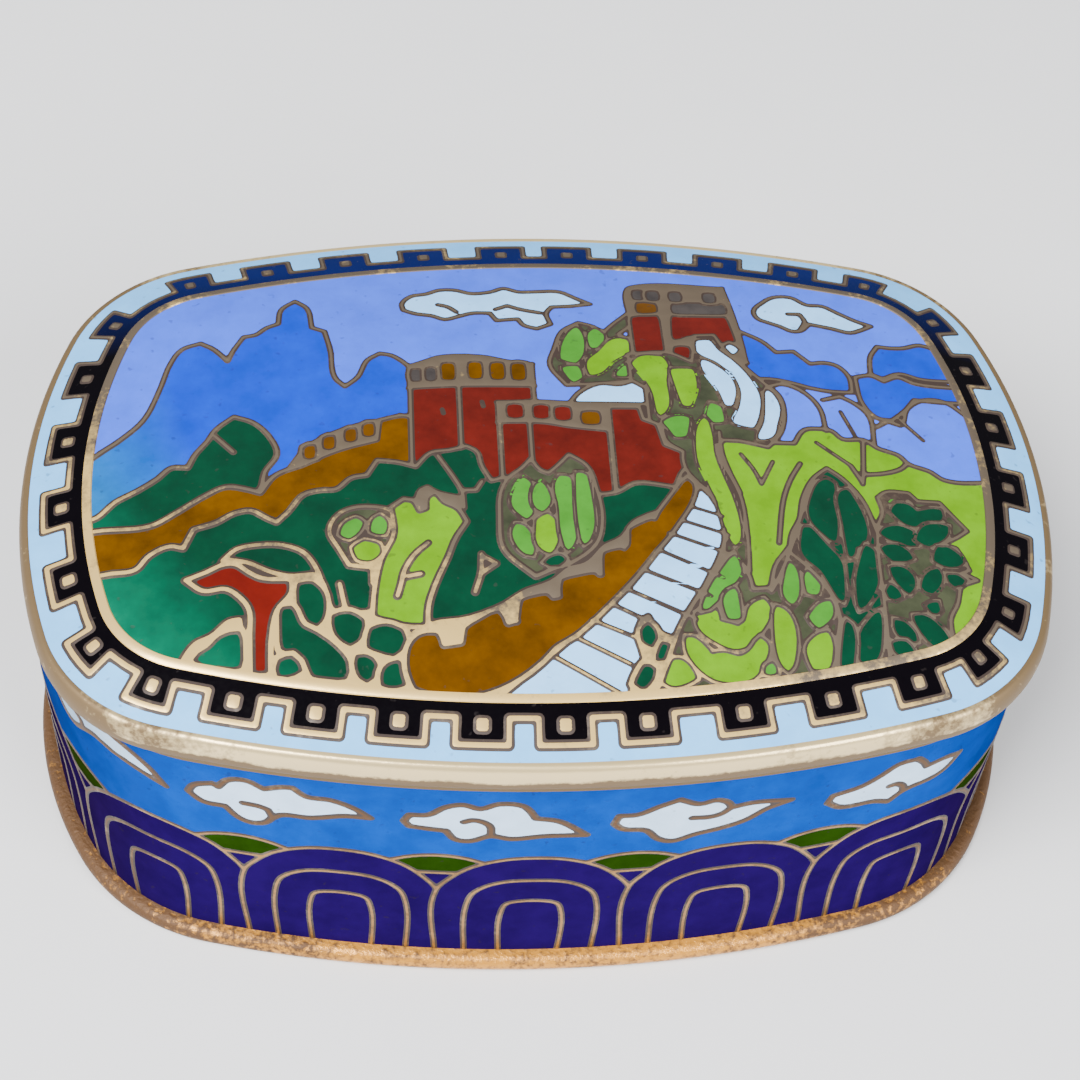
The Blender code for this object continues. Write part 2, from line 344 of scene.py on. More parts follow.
def scales_of(plan, inset, x, y):
    """Each point's distance from the middle as a share of that to the outline at an inset."""
    long_centre, short_centre, corner = arc_centres(plan)
    to_short, to_long = corner_angles(plan)
    x, y = np.abs(x), np.abs(y)
    length = np.maximum(np.hypot(x, y), 1e-6)
    ux, uy = x / length, y / length

    def reach(centre, radius):
        along = ux * centre.x + uy * centre.y
        return along + np.sqrt(np.maximum((radius - inset) ** 2 - centre.length_squared + along**2, 0.0))

    to_corner = reach(corner, plan.corner_radius)
    angle = np.arctan2(uy * to_corner - corner.y, ux * to_corner - corner.x)
    in_corner = (angle > to_short) & (angle < to_long)
    straight = np.minimum(reach(long_centre, plan.long_radius), reach(short_centre, plan.short_radius))
    return length / np.where(in_corner, to_corner, straight)


# Curves of the lid: how far the border bulges, as a share of its rise, and the room for the wires over
# the middle of the picture, as a share of how proud they stand.
BORDER_SWELL = 0.12
CAD_BORDER_INSET = 0.9
ROOM_OVER_CROWN = 1.5


def lid_heights(x, y):
    """Height of the lid's enamel over points of the plan."""
    foot, wire, crown = top_of("lid_rim"), top_of("lid_panel_wire"), top_of("lid_picture_enamel")
    share = (insets_of(LID_PLAN, x, y) - CAD_BORDER_INSET) / (PANEL_INSET - CAD_BORDER_INSET)
    border = foot + (wire - foot) * (share + BORDER_SWELL * share * (1 - share))
    rise = crown - wire - ROOM_OVER_CROWN * sizes().wire_proud / MM
    panel = wire + rise * (1 - scales_of(LID_PLAN, PANEL_INSET, x, y) ** 2)
    return np.where(share < 1, border, panel)


def lay_on_lid(flat):
    """Places on the lid for rows of x, y and height above the enamel."""
    x, y, lift = flat.T
    reach = 0.05
    height = lid_heights(x, y)
    slope_x = (lid_heights(x + reach, y) - lid_heights(x - reach, y)) / (2 * reach)
    slope_y = (lid_heights(x, y + reach) - lid_heights(x, y - reach)) / (2 * reach)
    square = np.stack([-slope_x, -slope_y, np.ones_like(x)], axis=1)
    square /= np.linalg.norm(square, axis=1, keepdims=True)
    return (np.stack([x, y, height], axis=1) + square * lift[:, None]) * MM


def lay_on_wall(flat):
    """Places on the wall for rows of the way round, height and height above the enamel."""
    arcs = track(BASE_PLAN, WALL_INSET)
    places = [(*on_track(arcs, around, lift), height) for around, height, lift in flat]
    return np.array(places) * MM


# Drawing


def path(points, closed=True, step=PATH_STEP):
    """Close-set points on a smooth line through the given ones, which keeps its sharp turns."""
    points = [Vector(point) for point in points]
    count = len(points)
    slopes = []
    for i, here in enumerate(points):
        back = here - points[i - 1]
        ahead = points[(i + 1) % count] - here
        at_end = not closed and i in (0, count - 1)
        if at_end or back.angle(ahead) > SHARP_TURN:
            slopes.append(None)
        else:
            slopes.append((back.normalized() + ahead.normalized()).normalized())
    line = []
    for i in range(count if closed else count - 1):
        here, there = points[i], points[(i + 1) % count]
        chord = there - here
        leave = (slopes[i] or chord.normalized()) * chord.length
        arrive = (slopes[(i + 1) % count] or chord.normalized()) * chord.length
        pieces = math.ceil(chord.length / step)
        for piece in range(pieces):
            t = piece / pieces
            line.append(
                here * (2 * t**3 - 3 * t**2 + 1)
                + leave * (t**3 - 2 * t**2 + t)
                + there * (3 * t**2 - 2 * t**3)
                + arrive * (t**3 - t**2)
            )
    if not closed:
        line.append(points[-1])
    return line


def cell(colour, points, wire=1.0):
    """A cell of one colour inside a smooth closed line, with its wire's width as a share of the others'."""
    return Cell(colour, path(points), wire)


def grown(outline, wires, margin=0.0):
    """A closed line moved outwards by a number of half wires, or inwards by a negative one."""
    line = anticlockwise(outline)
    moved_out = []
    for before, here, after in zip(line[-1:] + line[:-1], line, line[1:] + line[:1]):
        along = (after - before).normalized()
        moved_out.append(here + Vector((along.y, -along.x)) * (wires * half_wire(*here) + margin))
    return moved_out


def leaf(colour, points, wire=1.0):
    """A cell drawn by the edge of the enamel that shows, so that its wire lies outside it."""
    return Cell(colour, grown(path(points), wire, LEAF_MARGIN), wire)


def thin_leaf(colour, points):
    """A leaf in a thicket, where the wires are thinner."""
    return leaf(colour, points, wire=THIN)


def leaflet(points):
    """A leaflet of the fern, swollen until it nearly meets the next one."""
    return Cell("dark_green", grown(path(points), THIN, LEAFLET_MARGIN), THIN)


def metal(points):
    """A place where wires lie side by side and fill the space between them."""
    return Cell(METAL, grown(path(points), -1.0), 1.0)


def stroke(points, thin=1.0):
    """A wire on its own, within a cell, with its width as a share of the others'."""
    return path(points, closed=False), thin


def moved(points, x, y=0.0):
    """The points set down at another place."""
    return [(point[0] + x, point[1] + y) for point in points]


def anticlockwise(points):
    """A closed line, turned round if it runs clockwise."""
    area = sum(a.x * b.y - b.x * a.y for a, b in zip(points, points[1:] + points[:1]))
    return points if area > 0 else points[::-1]


def triangulate(loops, loose=()):
    """Triangles between closed lines: their corners, the triangles, and the lines that each lies within."""
    corners = []
    faces = []
    for loop in loops:
        faces.append(list(range(len(corners), len(corners) + len(loop))))
        corners.extend(anticlockwise(loop))
    corners.extend(loose)
    inside_only = 1
    nearness = 1e-4
    made = delaunay_2d_cdt(corners, [], faces, inside_only, nearness, True)
    return made[0], made[2], made[5]


def inside(places, loop):
    """Which places a closed line runs round anticlockwise, where it may cross itself."""
    line = np.array(loop)
    near = np.nonzero(((places >= line.min(axis=0)) & (places <= line.max(axis=0))).all(axis=1))[0]
    x, y = places[near].T
    turns = np.zeros(len(near), int)
    for (ax, ay), (bx, by) in zip(line, np.roll(line, -1, axis=0)):
        side = (bx - ax) * (y - ay) - (by - ay) * (x - ax)
        turns += (ay <= y) & (y < by) & (side > 0)
        turns -= (by <= y) & (y < ay) & (side < 0)
    return near[turns > 0]


def grid_points(low, high, step):
    """Points that let a sheet follow its curved surface."""
    across = np.arange(low[0] + step / 2, high[0], step)
    along = np.arange(low[1] + step / 2, high[1], step)
    return [Vector((float(x), float(y))) for x in across for y in along]


def enamel_sheet(drawing, loose):
    """The drawing's triangles with the cell that shows on each, and the edges where a wire runs."""
    loops = [anticlockwise(one.outline) for one in drawing.cells]
    corners, triangles, _ = triangulate(loops, loose)
    middles = np.array(
        [[sum(corners[i][axis] for i in triangle) / 3 for axis in (0, 1)] for triangle in triangles]
    )
    tops = np.full(len(triangles), -1)
    for number, loop in enumerate(loops):
        tops[inside(middles, loop)] = number
    within = np.zeros(len(triangles), bool)
    within[inside(middles, loops[0])] = True
    shown = []
    sides = {}
    wires = []
    for number in np.nonzero(within)[0]:
        triangle, top = triangles[number], int(tops[number])
        if drawing.cells[top].colour != HOLE:
            shown.append((triangle, top))
        for a, b in zip(triangle, triangle[1:] + triangle[:1]):
            sides.setdefault((min(a, b), max(a, b)), []).append(top)
        if drawing.cells[top].colour == METAL:
            places = [corners[i] for i in triangle]
            middle = sum(places, Vector((0, 0))) / 3
            wires.extend((place, middle, 1.0) for place in places)
            wires.extend((a, b, 1.0) for a, b in zip(places, places[1:] + places[:1]))
    for (a, b), tops in sides.items():
        wire = drawing.cells[max(tops)].wire
        if len(tops) == 2 and tops[0] != tops[1] and wire > 0:
            wires.append((corners[a], corners[b], wire))
    for line, thin in drawing.strokes:
        wires.extend((start, end, thin) for start, end in zip(line, line[1:]))
    return corners, shown, wires


# Wires: the region within half a wire's width of the lines, with rounded joints

GRID_STEP = 0.14
FAR = 4.0
SMALLEST_LOOP = 8
CROSSINGS = {
    1: ((0, 3),),
    2: ((1, 0),),
    3: ((1, 3),),
    4: ((2, 1),),
    5: ((0, 3), (2, 1)),
    6: ((2, 0),),
    7: ((2, 3),),
    8: ((3, 2),),
    9: ((0, 2),),
    10: ((1, 0), (3, 2)),
    11: ((1, 2),),
    12: ((3, 1),),
    13: ((0, 1),),
    14: ((3, 0),),
}


def distance_field(wires, low, size, steps):
    """Distance from each grid point to the nearest line."""
    field = np.full(steps, FAR)
    step = np.array(size) / (np.array(steps) - 1)
    reach = 1.0
    for start, end, thin in wires:
        first = np.floor((np.minimum(start, end) - low - reach) / step).astype(int)
        last = np.ceil((np.maximum(start, end) - low + reach) / step).astype(int) + 1
        first = np.maximum(first, 0)
        last = np.minimum(last, steps)
        if (first >= last).any():
            continue
        x = low[0] + step[0] * np.arange(first[0], last[0])[:, None]
        y = low[1] + step[1] * np.arange(first[1], last[1])[None, :]
        run_x, run_y = end[0] - start[0], end[1] - start[1]
        length = max(run_x**2 + run_y**2, 1e-12)
        share = np.clip(((x - start[0]) * run_x + (y - start[1]) * run_y) / length, 0, 1)
        apart = np.hypot(x - start[0] - share * run_x, y - start[1] - share * run_y)
        window = field[first[0] : last[0], first[1] : last[1]]
        np.minimum(window, apart / thin, out=window)
    return field


def softened(field):
    """The field averaged with its neighbours, which fills the inner corners where wires meet."""
    padded = np.pad(field, 1, mode="edge")
    beside = padded[:-2, 1:-1] + padded[2:, 1:-1] + padded[1:-1, :-2] + padded[1:-1, 2:]
    return (2 * field + beside) / 6


def contour(field, level, low, step):
    """Closed lines round the places where the field is under a level."""
    under = field < level
    codes = under[:-1, :-1] * 1 + under[1:, :-1] * 2 + under[1:, 1:] * 4 + under[:-1, 1:] * 8
    following = {}
    for i, j in zip(*np.nonzero((codes > 0) & (codes < 15))):
        edges = ((i, j, 0), (i + 1, j, 1), (i, j + 1, 0), (i, j, 1))
        for leave, arrive in CROSSINGS[int(codes[i, j])]:
            following[edges[leave]] = edges[arrive]

    def place(edge):
        i, j, upright = edge
        near, far = field[i, j], field[i + (not upright), j + upright]
        share = (level - near) / (far - near)
        x = low[0] + step[0] * (i + share * (not upright))
        y = low[1] + step[1] * (j + share * upright)
        return Vector((x, y))

    loops = []
    while following:
        first, here = following.popitem()
        loop = [place(first)]
        while here != first:
            loop.append(place(here))
            here = following.pop(here)
        loops.append(loop)
    return loops


def thinned(loop, slack=0.012, longest=1.6):
    """The loop without the points that lie on a straight run, to within a slack."""
    kept = [loop[0]]
    between = []
    for point, after in zip(loop[1:], loop[2:] + loop[:1]):
        between.append(point)
        chord = after - kept[-1]
        length = max(chord.length, 1e-9)
        off = max(abs(chord.cross(one - kept[-1])) for one in between) / length
        if off > slack or length > longest:
            kept.append(point)
            between = []
    return kept


def wire_sheet(wires, low, high, width, spread_at):
    """Corners, triangles and the sloped ones among them of the wires' upper side."""
    size = (high[0] - low[0], high[1] - low[1])
    steps = tuple(math.ceil(length / GRID_STEP) + 1 for length in size)
    step = (size[0] / (steps[0] - 1), size[1] / (steps[1] - 1))
    field = distance_field(wires, np.array(low), size, steps)
    x, y = (np.linspace(low[axis], high[axis], steps[axis]) for axis in (0, 1))
    field /= spread_at(x[:, None], y[None, :])
    field = softened(field)
    field[[0, -1], :] = FAR
    field[:, [0, -1]] = FAR
    proud = sizes().wire_proud / MM
    outer, inner = (
        [thinned(loop) for loop in contour(field, level, low, step) if len(loop) > SMALLEST_LOOP]
        for level in (width / 2, width / 2 - sizes().wire_edge / MM)
    )
    corners, triangles, within = triangulate(outer + inner)
    kept = []
    raised = set()
    for triangle, loops in zip(triangles, within):
        if sum(loop < len(outer) for loop in loops) % 2 == 0:
            continue
        on_top = sum(loop >= len(outer) for loop in loops) % 2 == 1
        kept.append((triangle, on_top))
        if on_top:
            raised.update(triangle)
    flat = np.array([(*corner, proud if i in raised else 0.0) for i, corner in enumerate(corners)])
    return flat, kept


# Pieces


def select_only(piece):
    """Selects a piece alone and makes it the active one."""
    bpy.ops.object.select_all(action="DESELECT")
    piece.select_set(True)
    bpy.context.view_layer.objects.active = piece


def apply_modifier(piece, kind, **settings):
    """Adds a modifier with its settings and applies it."""
    select_only(piece)
    modifier = piece.modifiers.new(kind.title(), kind)
    for name, value in settings.items():
        setattr(modifier, name, value)
    bpy.ops.object.modifier_apply(modifier=modifier.name)


def edit_all(piece, *steps):
    """Runs edit-mode operators on the whole of a piece."""
    select_only(piece)
    bpy.ops.object.mode_set(mode="EDIT")
    bpy.ops.mesh.select_all(action="SELECT")
    for operator, settings in steps:
        operator(**settings)
    bpy.ops.object.mode_set(mode="OBJECT")


def declare(piece, slot, *nodes):
    """Sets a piece to ride on the root and hides the CAD nodes it stands for. The slot is not used."""
    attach(piece, "root")
    if nodes:
        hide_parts(*nodes)


def new_piece(name, places, faces):
    """A mesh object from its corners, in metres, and its faces."""
    mesh = bpy.data.meshes.new(name)
    mesh.from_pydata([tuple(place) for place in places], [], faces)
    piece = bpy.data.objects.new(name, mesh)
    bpy.context.scene.collection.objects.link(piece)
    return piece


def smoothed(piece, turn):
    """Shades a piece smooth, apart from its sharper turns."""
    select_only(piece)
    bpy.ops.object.shade_smooth_by_angle(angle=turn)
    return piece


def thickened(piece, **settings):
    """Joins the corners of a sheet and gives it its thickness, inwards."""
    edit_all(
        piece,
        (bpy.ops.mesh.delete_loose, {}),
        (bpy.ops.mesh.remove_doubles, {"threshold": MERGE_DISTANCE * MM}),
    )
    apply_modifier(piece, "SOLIDIFY", offset=-1.0, **settings)


def add_enamel(name, corners, shown, cells, lay, materials):
    """The enamel coat: its cells laid on a surface, each in its own colour, with its thickness."""
    flat = np.array([(*corner, 0.0) for corner in corners])
    piece = new_piece(name, lay(flat), [triangle for triangle, _ in shown])
    names = sorted({cells[top].colour for _, top in shown})
    for colour in names:
        piece.data.materials.append(materials["grey" if colour == METAL else colour])
    for polygon, (_, top) in zip(piece.data.polygons, shown):
        polygon.material_index = names.index(cells[top].colour)
    thickened(piece, thickness=sizes().enamel_depth)
    return smoothed(piece, ENAMEL_TURN)


def add_wires(name, wires, low, high, lay, top, edge, spread_at=spread):
    """Wires laid on a surface, with flat tops and sloped edges."""
    width = (sizes().wire_width + sizes().wire_edge) / MM
    flat, kept = wire_sheet(wires, low, high, width, spread_at)
    piece = new_piece(name, lay(flat), [triangle for triangle, _ in kept])
    piece.data.materials.append(top)
    piece.data.materials.append(edge)
    for polygon, (_, on_top) in zip(piece.data.polygons, kept):
        polygon.material_index = 0 if on_top else 1
    thickened(piece, thickness=sizes().wire_depth, material_offset=1, material_offset_rim=1)
    return smoothed(piece, WIRE_TURN)


def swept_ring(name, plan, profile, material):
    """A closed ring with a profile of (inset, height) points, anticlockwise, carried round an outline."""
    arcs = track(plan)
    length = track_length(arcs)
    count = math.ceil(length / RING_STEP)
    across = len(profile)
    places = [
        (*(on_track(arcs, length * i / count, -inset) * MM), height * MM)
        for i in range(count)
        for inset, height in profile
    ]
    faces = []
    for i in range(count):
        here, there = i * across, (i + 1) % count * across
        for j in range(across):
            k = (j + 1) % across
            faces.append((here + j, there + j, there + k, here + k))
    piece = new_piece(name, places, faces)
    piece.data.materials.append(material)
    edit_all(piece, (bpy.ops.mesh.normals_make_consistent, {"inside": False}))
    return smoothed(piece, RING_TURN)


# Materials


def new_material(name):
    """A material with an empty tree, its shader and a reader of Object coordinates."""
    material = bpy.data.materials.new(name)
    material.use_nodes = True
    tree = material.node_tree
    tree.nodes.clear()
    output = tree.nodes.new("ShaderNodeOutputMaterial")
    shader = tree.nodes.new("ShaderNodeBsdfPrincipled")
    place = tree.nodes.new("ShaderNodeTexCoord")
    tree.links.new(shader.outputs["BSDF"], output.inputs["Surface"])
    return material, tree, shader, place.outputs["Object"]


def new_group(name, inputs, outputs):
    """A shader node group with named sockets."""
    group = bpy.data.node_groups.new(name, "ShaderNodeTree")
    for title, kind, value in inputs:
        socket = group.interface.new_socket(title, in_out="INPUT", socket_type=kind)
        if value is not None:
            socket.default_value = value
    for title, kind in outputs:
        group.interface.new_socket(title, in_out="OUTPUT", socket_type=kind)
    return group, group.nodes.new("NodeGroupInput"), group.nodes.new("NodeGroupOutput")


def noise(tree, place, scale, detail=3.0, roughness=0.5):
    """Noise with a scale in spots for each metre."""
    node = tree.nodes.new("ShaderNodeTexNoise")
    node.inputs["Scale"].default_value = scale
    node.inputs["Detail"].default_value = detail
    node.inputs["Roughness"].default_value = roughness
    tree.links.new(place, node.inputs["Vector"])
    return node.outputs["Fac"]


def ranged(tree, value, low, high, new_low=0.0, new_high=1.0):
    """A value moved from one range to another and held within it."""
    node = tree.nodes.new("ShaderNodeMapRange")
    node.inputs["From Min"].default_value = low
    node.inputs["From Max"].default_value = high
    node.inputs["To Min"].default_value = new_low
    node.inputs["To Max"].default_value = new_high
    tree.links.new(value, node.inputs["Value"])
    return node.outputs["Result"]


def math_node(tree, operation, first, second):
    """An arithmetic node on two sockets or numbers."""
    node = tree.nodes.new("ShaderNodeMath")
    node.operation = operation
    for socket, value in zip(node.inputs, (first, second)):
        if isinstance(value, float):
            socket.default_value = value
        else:
            tree.links.new(value, socket)
    return node.outputs["Value"]


def mixed(tree, share, first, second, blend="MIX"):
    """Two colours mixed, each a socket or a colour."""
    node = tree.nodes.new("ShaderNodeMix")
    node.data_type = "RGBA"
    node.blend_type = blend
    for name, value in (("Factor_Float", share), ("A_Color", first), ("B_Color", second)):
        socket = next(one for one in node.inputs if one.identifier == name)
        if isinstance(value, bpy.types.NodeSocket):
            tree.links.new(value, socket)
        else:
            socket.default_value = value if isinstance(value, float) else (*value, 1.0)
    return next(one for one in node.outputs if one.identifier == "Result_Color")


def bumped(tree, height, distance, shader, strength=1.0):
    """Gives a shader fine relief from a height."""
    node = tree.nodes.new("ShaderNodeBump")
    node.inputs["Distance"].default_value = distance
    node.inputs["Strength"].default_value = strength
    tree.links.new(height, node.inputs["Height"])
    tree.links.new(node.outputs["Normal"], shader.inputs["Normal"])


# Clouds and specks in the enamel, and what both kinds of finish give.
CLOUDY_TINT = srgb(168, 168, 176)
SPECK_COLOUR = srgb(40, 34, 34)
SPECK_DARKNESS = 0.35
SPECK_ROUGHNESS = 0.3
SPECK_DEPTH = 0.5
SURFACE = (
    ("Colour", "NodeSocketColor"),
    ("Roughness", "NodeSocketFloat"),
    ("Height", "NodeSocketFloat"),
)


def glass_group():
    """Mottled, slightly pitted enamel: cloudy tone, dark specks, fine waves and rough spots."""
    name = "enamel_glass"
    if name in bpy.data.node_groups:
        return bpy.data.node_groups[name]
    inputs = (
        ("Vector", "NodeSocketVector", None),
        ("Colour", "NodeSocketColor", None),
        ("Cloudiness", "NodeSocketFloat", 0.3),
    )
    group, given, result = new_group(name, inputs, SURFACE)
    place = given.outputs["Vector"]
    cloudy = noise(group, place, scale=330.0, detail=4.0, roughness=0.62)
    clouds = ranged(group, cloudy, low=0.34, high=0.68)
    grain = noise(group, place, scale=2600.0, detail=2.0)
    depth = math_node(group, "MULTIPLY", clouds, given.outputs["Cloudiness"])
    darker = mixed(group, 1.0, given.outputs["Colour"], CLOUDY_TINT, "MULTIPLY")
    tone = mixed(group, depth, given.outputs["Colour"], darker)
    speck = ranged(group, noise(group, place, scale=1500.0, detail=1.0), low=0.70, high=0.78)
    specked = mixed(group, math_node(group, "MULTIPLY", speck, SPECK_DARKNESS), tone, SPECK_COLOUR)
    group.links.new(specked, result.inputs["Colour"])
    polish = ranged(group, grain, low=0.3, high=0.8, new_low=0.14, new_high=0.26)
    rough = math_node(group, "ADD", polish, math_node(group, "MULTIPLY", speck, SPECK_ROUGHNESS))
    group.links.new(rough, result.inputs["Roughness"])
    waves = noise(group, place, scale=420.0, detail=2.0)
    height = math_node(group, "SUBTRACT", waves, math_node(group, "MULTIPLY", speck, SPECK_DEPTH))
    group.links.new(height, result.inputs["Height"])
    return group


FADE_NOISE_SCALE = 140.0
FADE_UNEVENNESS = 0.4


def faded(tree, place, fade):
    """How far each point lies from a fade's start to its end, in millimetres along it or from the middle."""
    if isinstance(fade, Ends):
        split = tree.nodes.new("ShaderNodeSeparateXYZ")
        tree.links.new(place, split.inputs["Vector"])
        distance = math_node(tree, "ABSOLUTE", split.outputs["X"], 0.0)
    else:
        dot = tree.nodes.new("ShaderNodeVectorMath")
        dot.operation = "DOT_PRODUCT"
        dot.inputs[1].default_value = Vector(fade.along).normalized()
        tree.links.new(place, dot.inputs[0])
        distance = dot.outputs["Value"]
    uneven = math_node(tree, "SUBTRACT", noise(tree, place, FADE_NOISE_SCALE), 0.5)
    reach = FADE_UNEVENNESS * abs(fade.end - fade.start) * MM
    far = math_node(tree, "ADD", distance, math_node(tree, "MULTIPLY", uneven, reach))
    return ranged(tree, far, fade.start * MM, fade.end * MM)


COAT_ROUGHNESS = 0.08
ENAMEL_RELIEF = 0.03


def enamel(name, colour, fade=None, cloudiness=0.45, gloss=0.3, coat=0.12, end_shade=0.0):
    """Enamel of one colour or with a fade into a second one, and with its share of painted shade at both
    ends.
    """
    material, tree, shader, place = new_material("enamel_" + name)
    glass = tree.nodes.new("ShaderNodeGroup")
    glass.node_tree = glass_group()
    tree.links.new(place, glass.inputs["Vector"])
    glass.inputs["Cloudiness"].default_value = cloudiness
    tone = (*colour, 1.0)
    if fade:
        tone = mixed(tree, faded(tree, place, fade), fade.near, fade.far)
    # Painted shade: the colour darkens towards both ends of the base.
    if end_shade:
        share = math_node(tree, "MULTIPLY", faded(tree, place, PAINTED_SHADE_ENDS), end_shade)
        tone = mixed(tree, share, tone if fade else colour, colours().end_shade)
    if fade or end_shade:
        tree.links.new(tone, glass.inputs["Colour"])
    else:
        glass.inputs["Colour"].default_value = tone
    tree.links.new(glass.outputs["Colour"], shader.inputs["Base Color"])
    tree.links.new(glass.outputs["Roughness"], shader.inputs["Roughness"])
    shader.inputs["Specular IOR Level"].default_value = gloss
    shader.inputs["Coat Weight"].default_value = coat
    shader.inputs["Coat Roughness"].default_value = COAT_ROUGHNESS
    bumped(tree, glass.outputs["Height"], ENAMEL_RELIEF * MM, shader, strength=0.6)
    return material


def enamels(**finishes):
    """An enamel for each named colour, with what its finish has of its own."""
    return {name: enamel(name, getattr(colours(), name), **finish) for name, finish in finishes.items()}


TARNISH_SHIFT = 0.4


def metal_group():
    """Worn brass: bright where it is rubbed, brown where it is tarnished or where painted shade is put, with
    scratches and dents.
    """
    name = "worn_brass"
    if name in bpy.data.node_groups:
        return bpy.data.node_groups[name]
    inputs = (
        ("Vector", "NodeSocketVector", None),
        ("Bright", "NodeSocketColor", None),
        ("Dull", "NodeSocketColor", None),
        ("Tarnish", "NodeSocketFloat", 0.5),
        ("Grain", "NodeSocketFloat", 0.3),
    )
    group, given, result = new_group(name, inputs, SURFACE)
    place = given.outputs["Vector"]
    patches = noise(group, place, scale=260.0, detail=5.0, roughness=0.65)
    fine = noise(group, place, scale=2200.0, detail=3.0, roughness=0.6)
    finer = math_node(group, "MULTIPLY", math_node(group, "SUBTRACT", fine, patches), given.outputs["Grain"])
    both = math_node(group, "ADD", patches, finer)
    off_middle = math_node(group, "SUBTRACT", given.outputs["Tarnish"], 0.5)
    shifted = math_node(group, "ADD", both, math_node(group, "MULTIPLY", off_middle, TARNISH_SHIFT))
    dull = ranged(group, shifted, low=0.42, high=0.62)
    tone = mixed(group, dull, given.outputs["Bright"], given.outputs["Dull"])
    group.links.new(tone, result.inputs["Colour"])
    polish = ranged(group, dull, low=0.0, high=1.0, new_low=0.28, new_high=0.62)
    group.links.new(polish, result.inputs["Roughness"])
    group.links.new(both, result.inputs["Height"])
    return group


def worn_metal(name, bright, dull, tarnish_and_shade, relief=0.05, metallic=0.85, grain=0.3):
    """Brass, with an even tarnish or with the heaviest of some that fade from place to place; on the lid's
    band and on the wires these fades are partly painted shade and highlight.
    """
    material, tree, shader, place = new_material(name)
    worn = tree.nodes.new("ShaderNodeGroup")
    worn.node_tree = metal_group()
    tree.links.new(place, worn.inputs["Vector"])
    worn.inputs["Bright"].default_value = (*bright, 1.0)
    worn.inputs["Dull"].default_value = (*dull, 1.0)
    worn.inputs["Grain"].default_value = grain
    if isinstance(tarnish_and_shade, float):
        worn.inputs["Tarnish"].default_value = tarnish_and_shade
    else:
        heaviest = 0.0
        for fade in tarnish_and_shade:
            share = ranged(tree, faded(tree, place, fade), 0.0, 1.0, fade.near, fade.far)
            heaviest = math_node(tree, "MAXIMUM", share, heaviest)
        tree.links.new(heaviest, worn.inputs["Tarnish"])
    tree.links.new(worn.outputs["Colour"], shader.inputs["Base Color"])
    tree.links.new(worn.outputs["Roughness"], shader.inputs["Roughness"])
    shader.inputs["Metallic"].default_value = metallic
    bumped(tree, worn.outputs["Height"], relief * MM, shader, strength=0.7)
    return material


WIRE_RELIEF = 0.02
# How dark the wires' edges are, with patina and painted crevice shade.
EDGE_TARNISH_AND_SHADE = 0.85
WALL_BROWN_ABOVE = Fade(near=0.38, far=1.0, along=(0.0, 0.0, 1.0), start=16.6, end=18.2)
# Painted shade: the base's wires darken towards both ends, as its enamel does.
WALL_WIRES_SHADED_ENDS = Ends(near=0.38, far=1.3, start=28.0, end=40.0)


def wire_materials(prefix, bright, dull, tarnish_and_shade):
    """The wires' rubbed tops and their edges, darkened by patina and by painted crevice shade."""
    shade, side = colours().wire_shade, colours().wire_side_patina_and_shade
    tops = worn_metal(prefix + "_wire_top", bright, dull, tarnish_and_shade, WIRE_RELIEF, metallic=0.45)
    edges = worn_metal(prefix + "_wire_edge", shade, side, EDGE_TARNISH_AND_SHADE, WIRE_RELIEF, metallic=0.2)
    return tops, edges


def lid_wire_materials(prefix, near, far, start, end):
    """Wires of the lid, with a painted highlight towards the front that fades into painted shade towards the
    back.
    """
    # Painted highlight at the front of the lid, fading to painted shade at the back.
    lit_front_shaded_back = Fade(near, far, TOWARDS_THE_BACK, start, end)
    return wire_materials(prefix, colours().wire, colours().wire_shade, [lit_front_shaded_back])


# How much of the light the deeper colours throw back.
DEEP = {"gloss": 0.08, "coat": 0.03}
EARTHY = {"gloss": 0.15, "coat": 0.05}
MATT = {"gloss": 0.0, "coat": 0.0}


def picture_materials():
    """Enamels of the picture: some run into a second tone across a cell."""
    tint = colours()
    to_teal = Fade(tint.azure, tint.teal, along=(-1.0, -0.45, 0.0), start=24.0, end=33.0)
    to_leaf = Fade(tint.dark_green, tint.leaf_green, along=(-1.0, -0.9, 0.0), start=26.0, end=34.0)
    to_brown = Fade(tint.ochre, tint.brown, along=(0.1, -1.0, 0.0), start=13.0, end=20.0)
    return enamels(
        sky={"cloudiness": 0.3},
        azure={"fade": to_teal, **DEEP},
        dark_green={"fade": to_leaf, "cloudiness": 0.6},
        ochre={"fade": to_brown, "cloudiness": 0.8, **EARTHY},
        brick={"cloudiness": 0.7},
        rust=EARTHY,
        lime=DEEP,
        pale_green={},
        moss={"cloudiness": 0.8},
        grey={"cloudiness": 0.8},
        brown={"cloudiness": 0.6},
        white={"cloudiness": 0.25},
    )


def border_materials():
    """Enamels of the border: its black turns blue on the far side, a painted reflection."""
    tint = colours()
    painted_far_reflection = Fade(tint.black, tint.far_side_reflection, along=(0.0, 1.0, 0.0), start=12.0, end=22.0)
    return enamels(
        border_blue={"cloudiness": 0.2},
        black={"fade": painted_far_reflection, "cloudiness": 0.3, **DEEP},
    )


def wall_materials():
    """Enamels of the base, with painted shade darkening both ends."""
    # Painted shade darkens both ends of the base.
    shaded_at_ends = {"end_shade": 0.72, **MATT}
    return enamels(
        body_blue=shaded_at_ends,
        body_white={"cloudiness": 0.25, **shaded_at_ends},
        navy={"cloudiness": 0.5, **shaded_at_ends},
        olive={"cloudiness": 0.6, **shaded_at_ends},
    )


# The picture on the lid


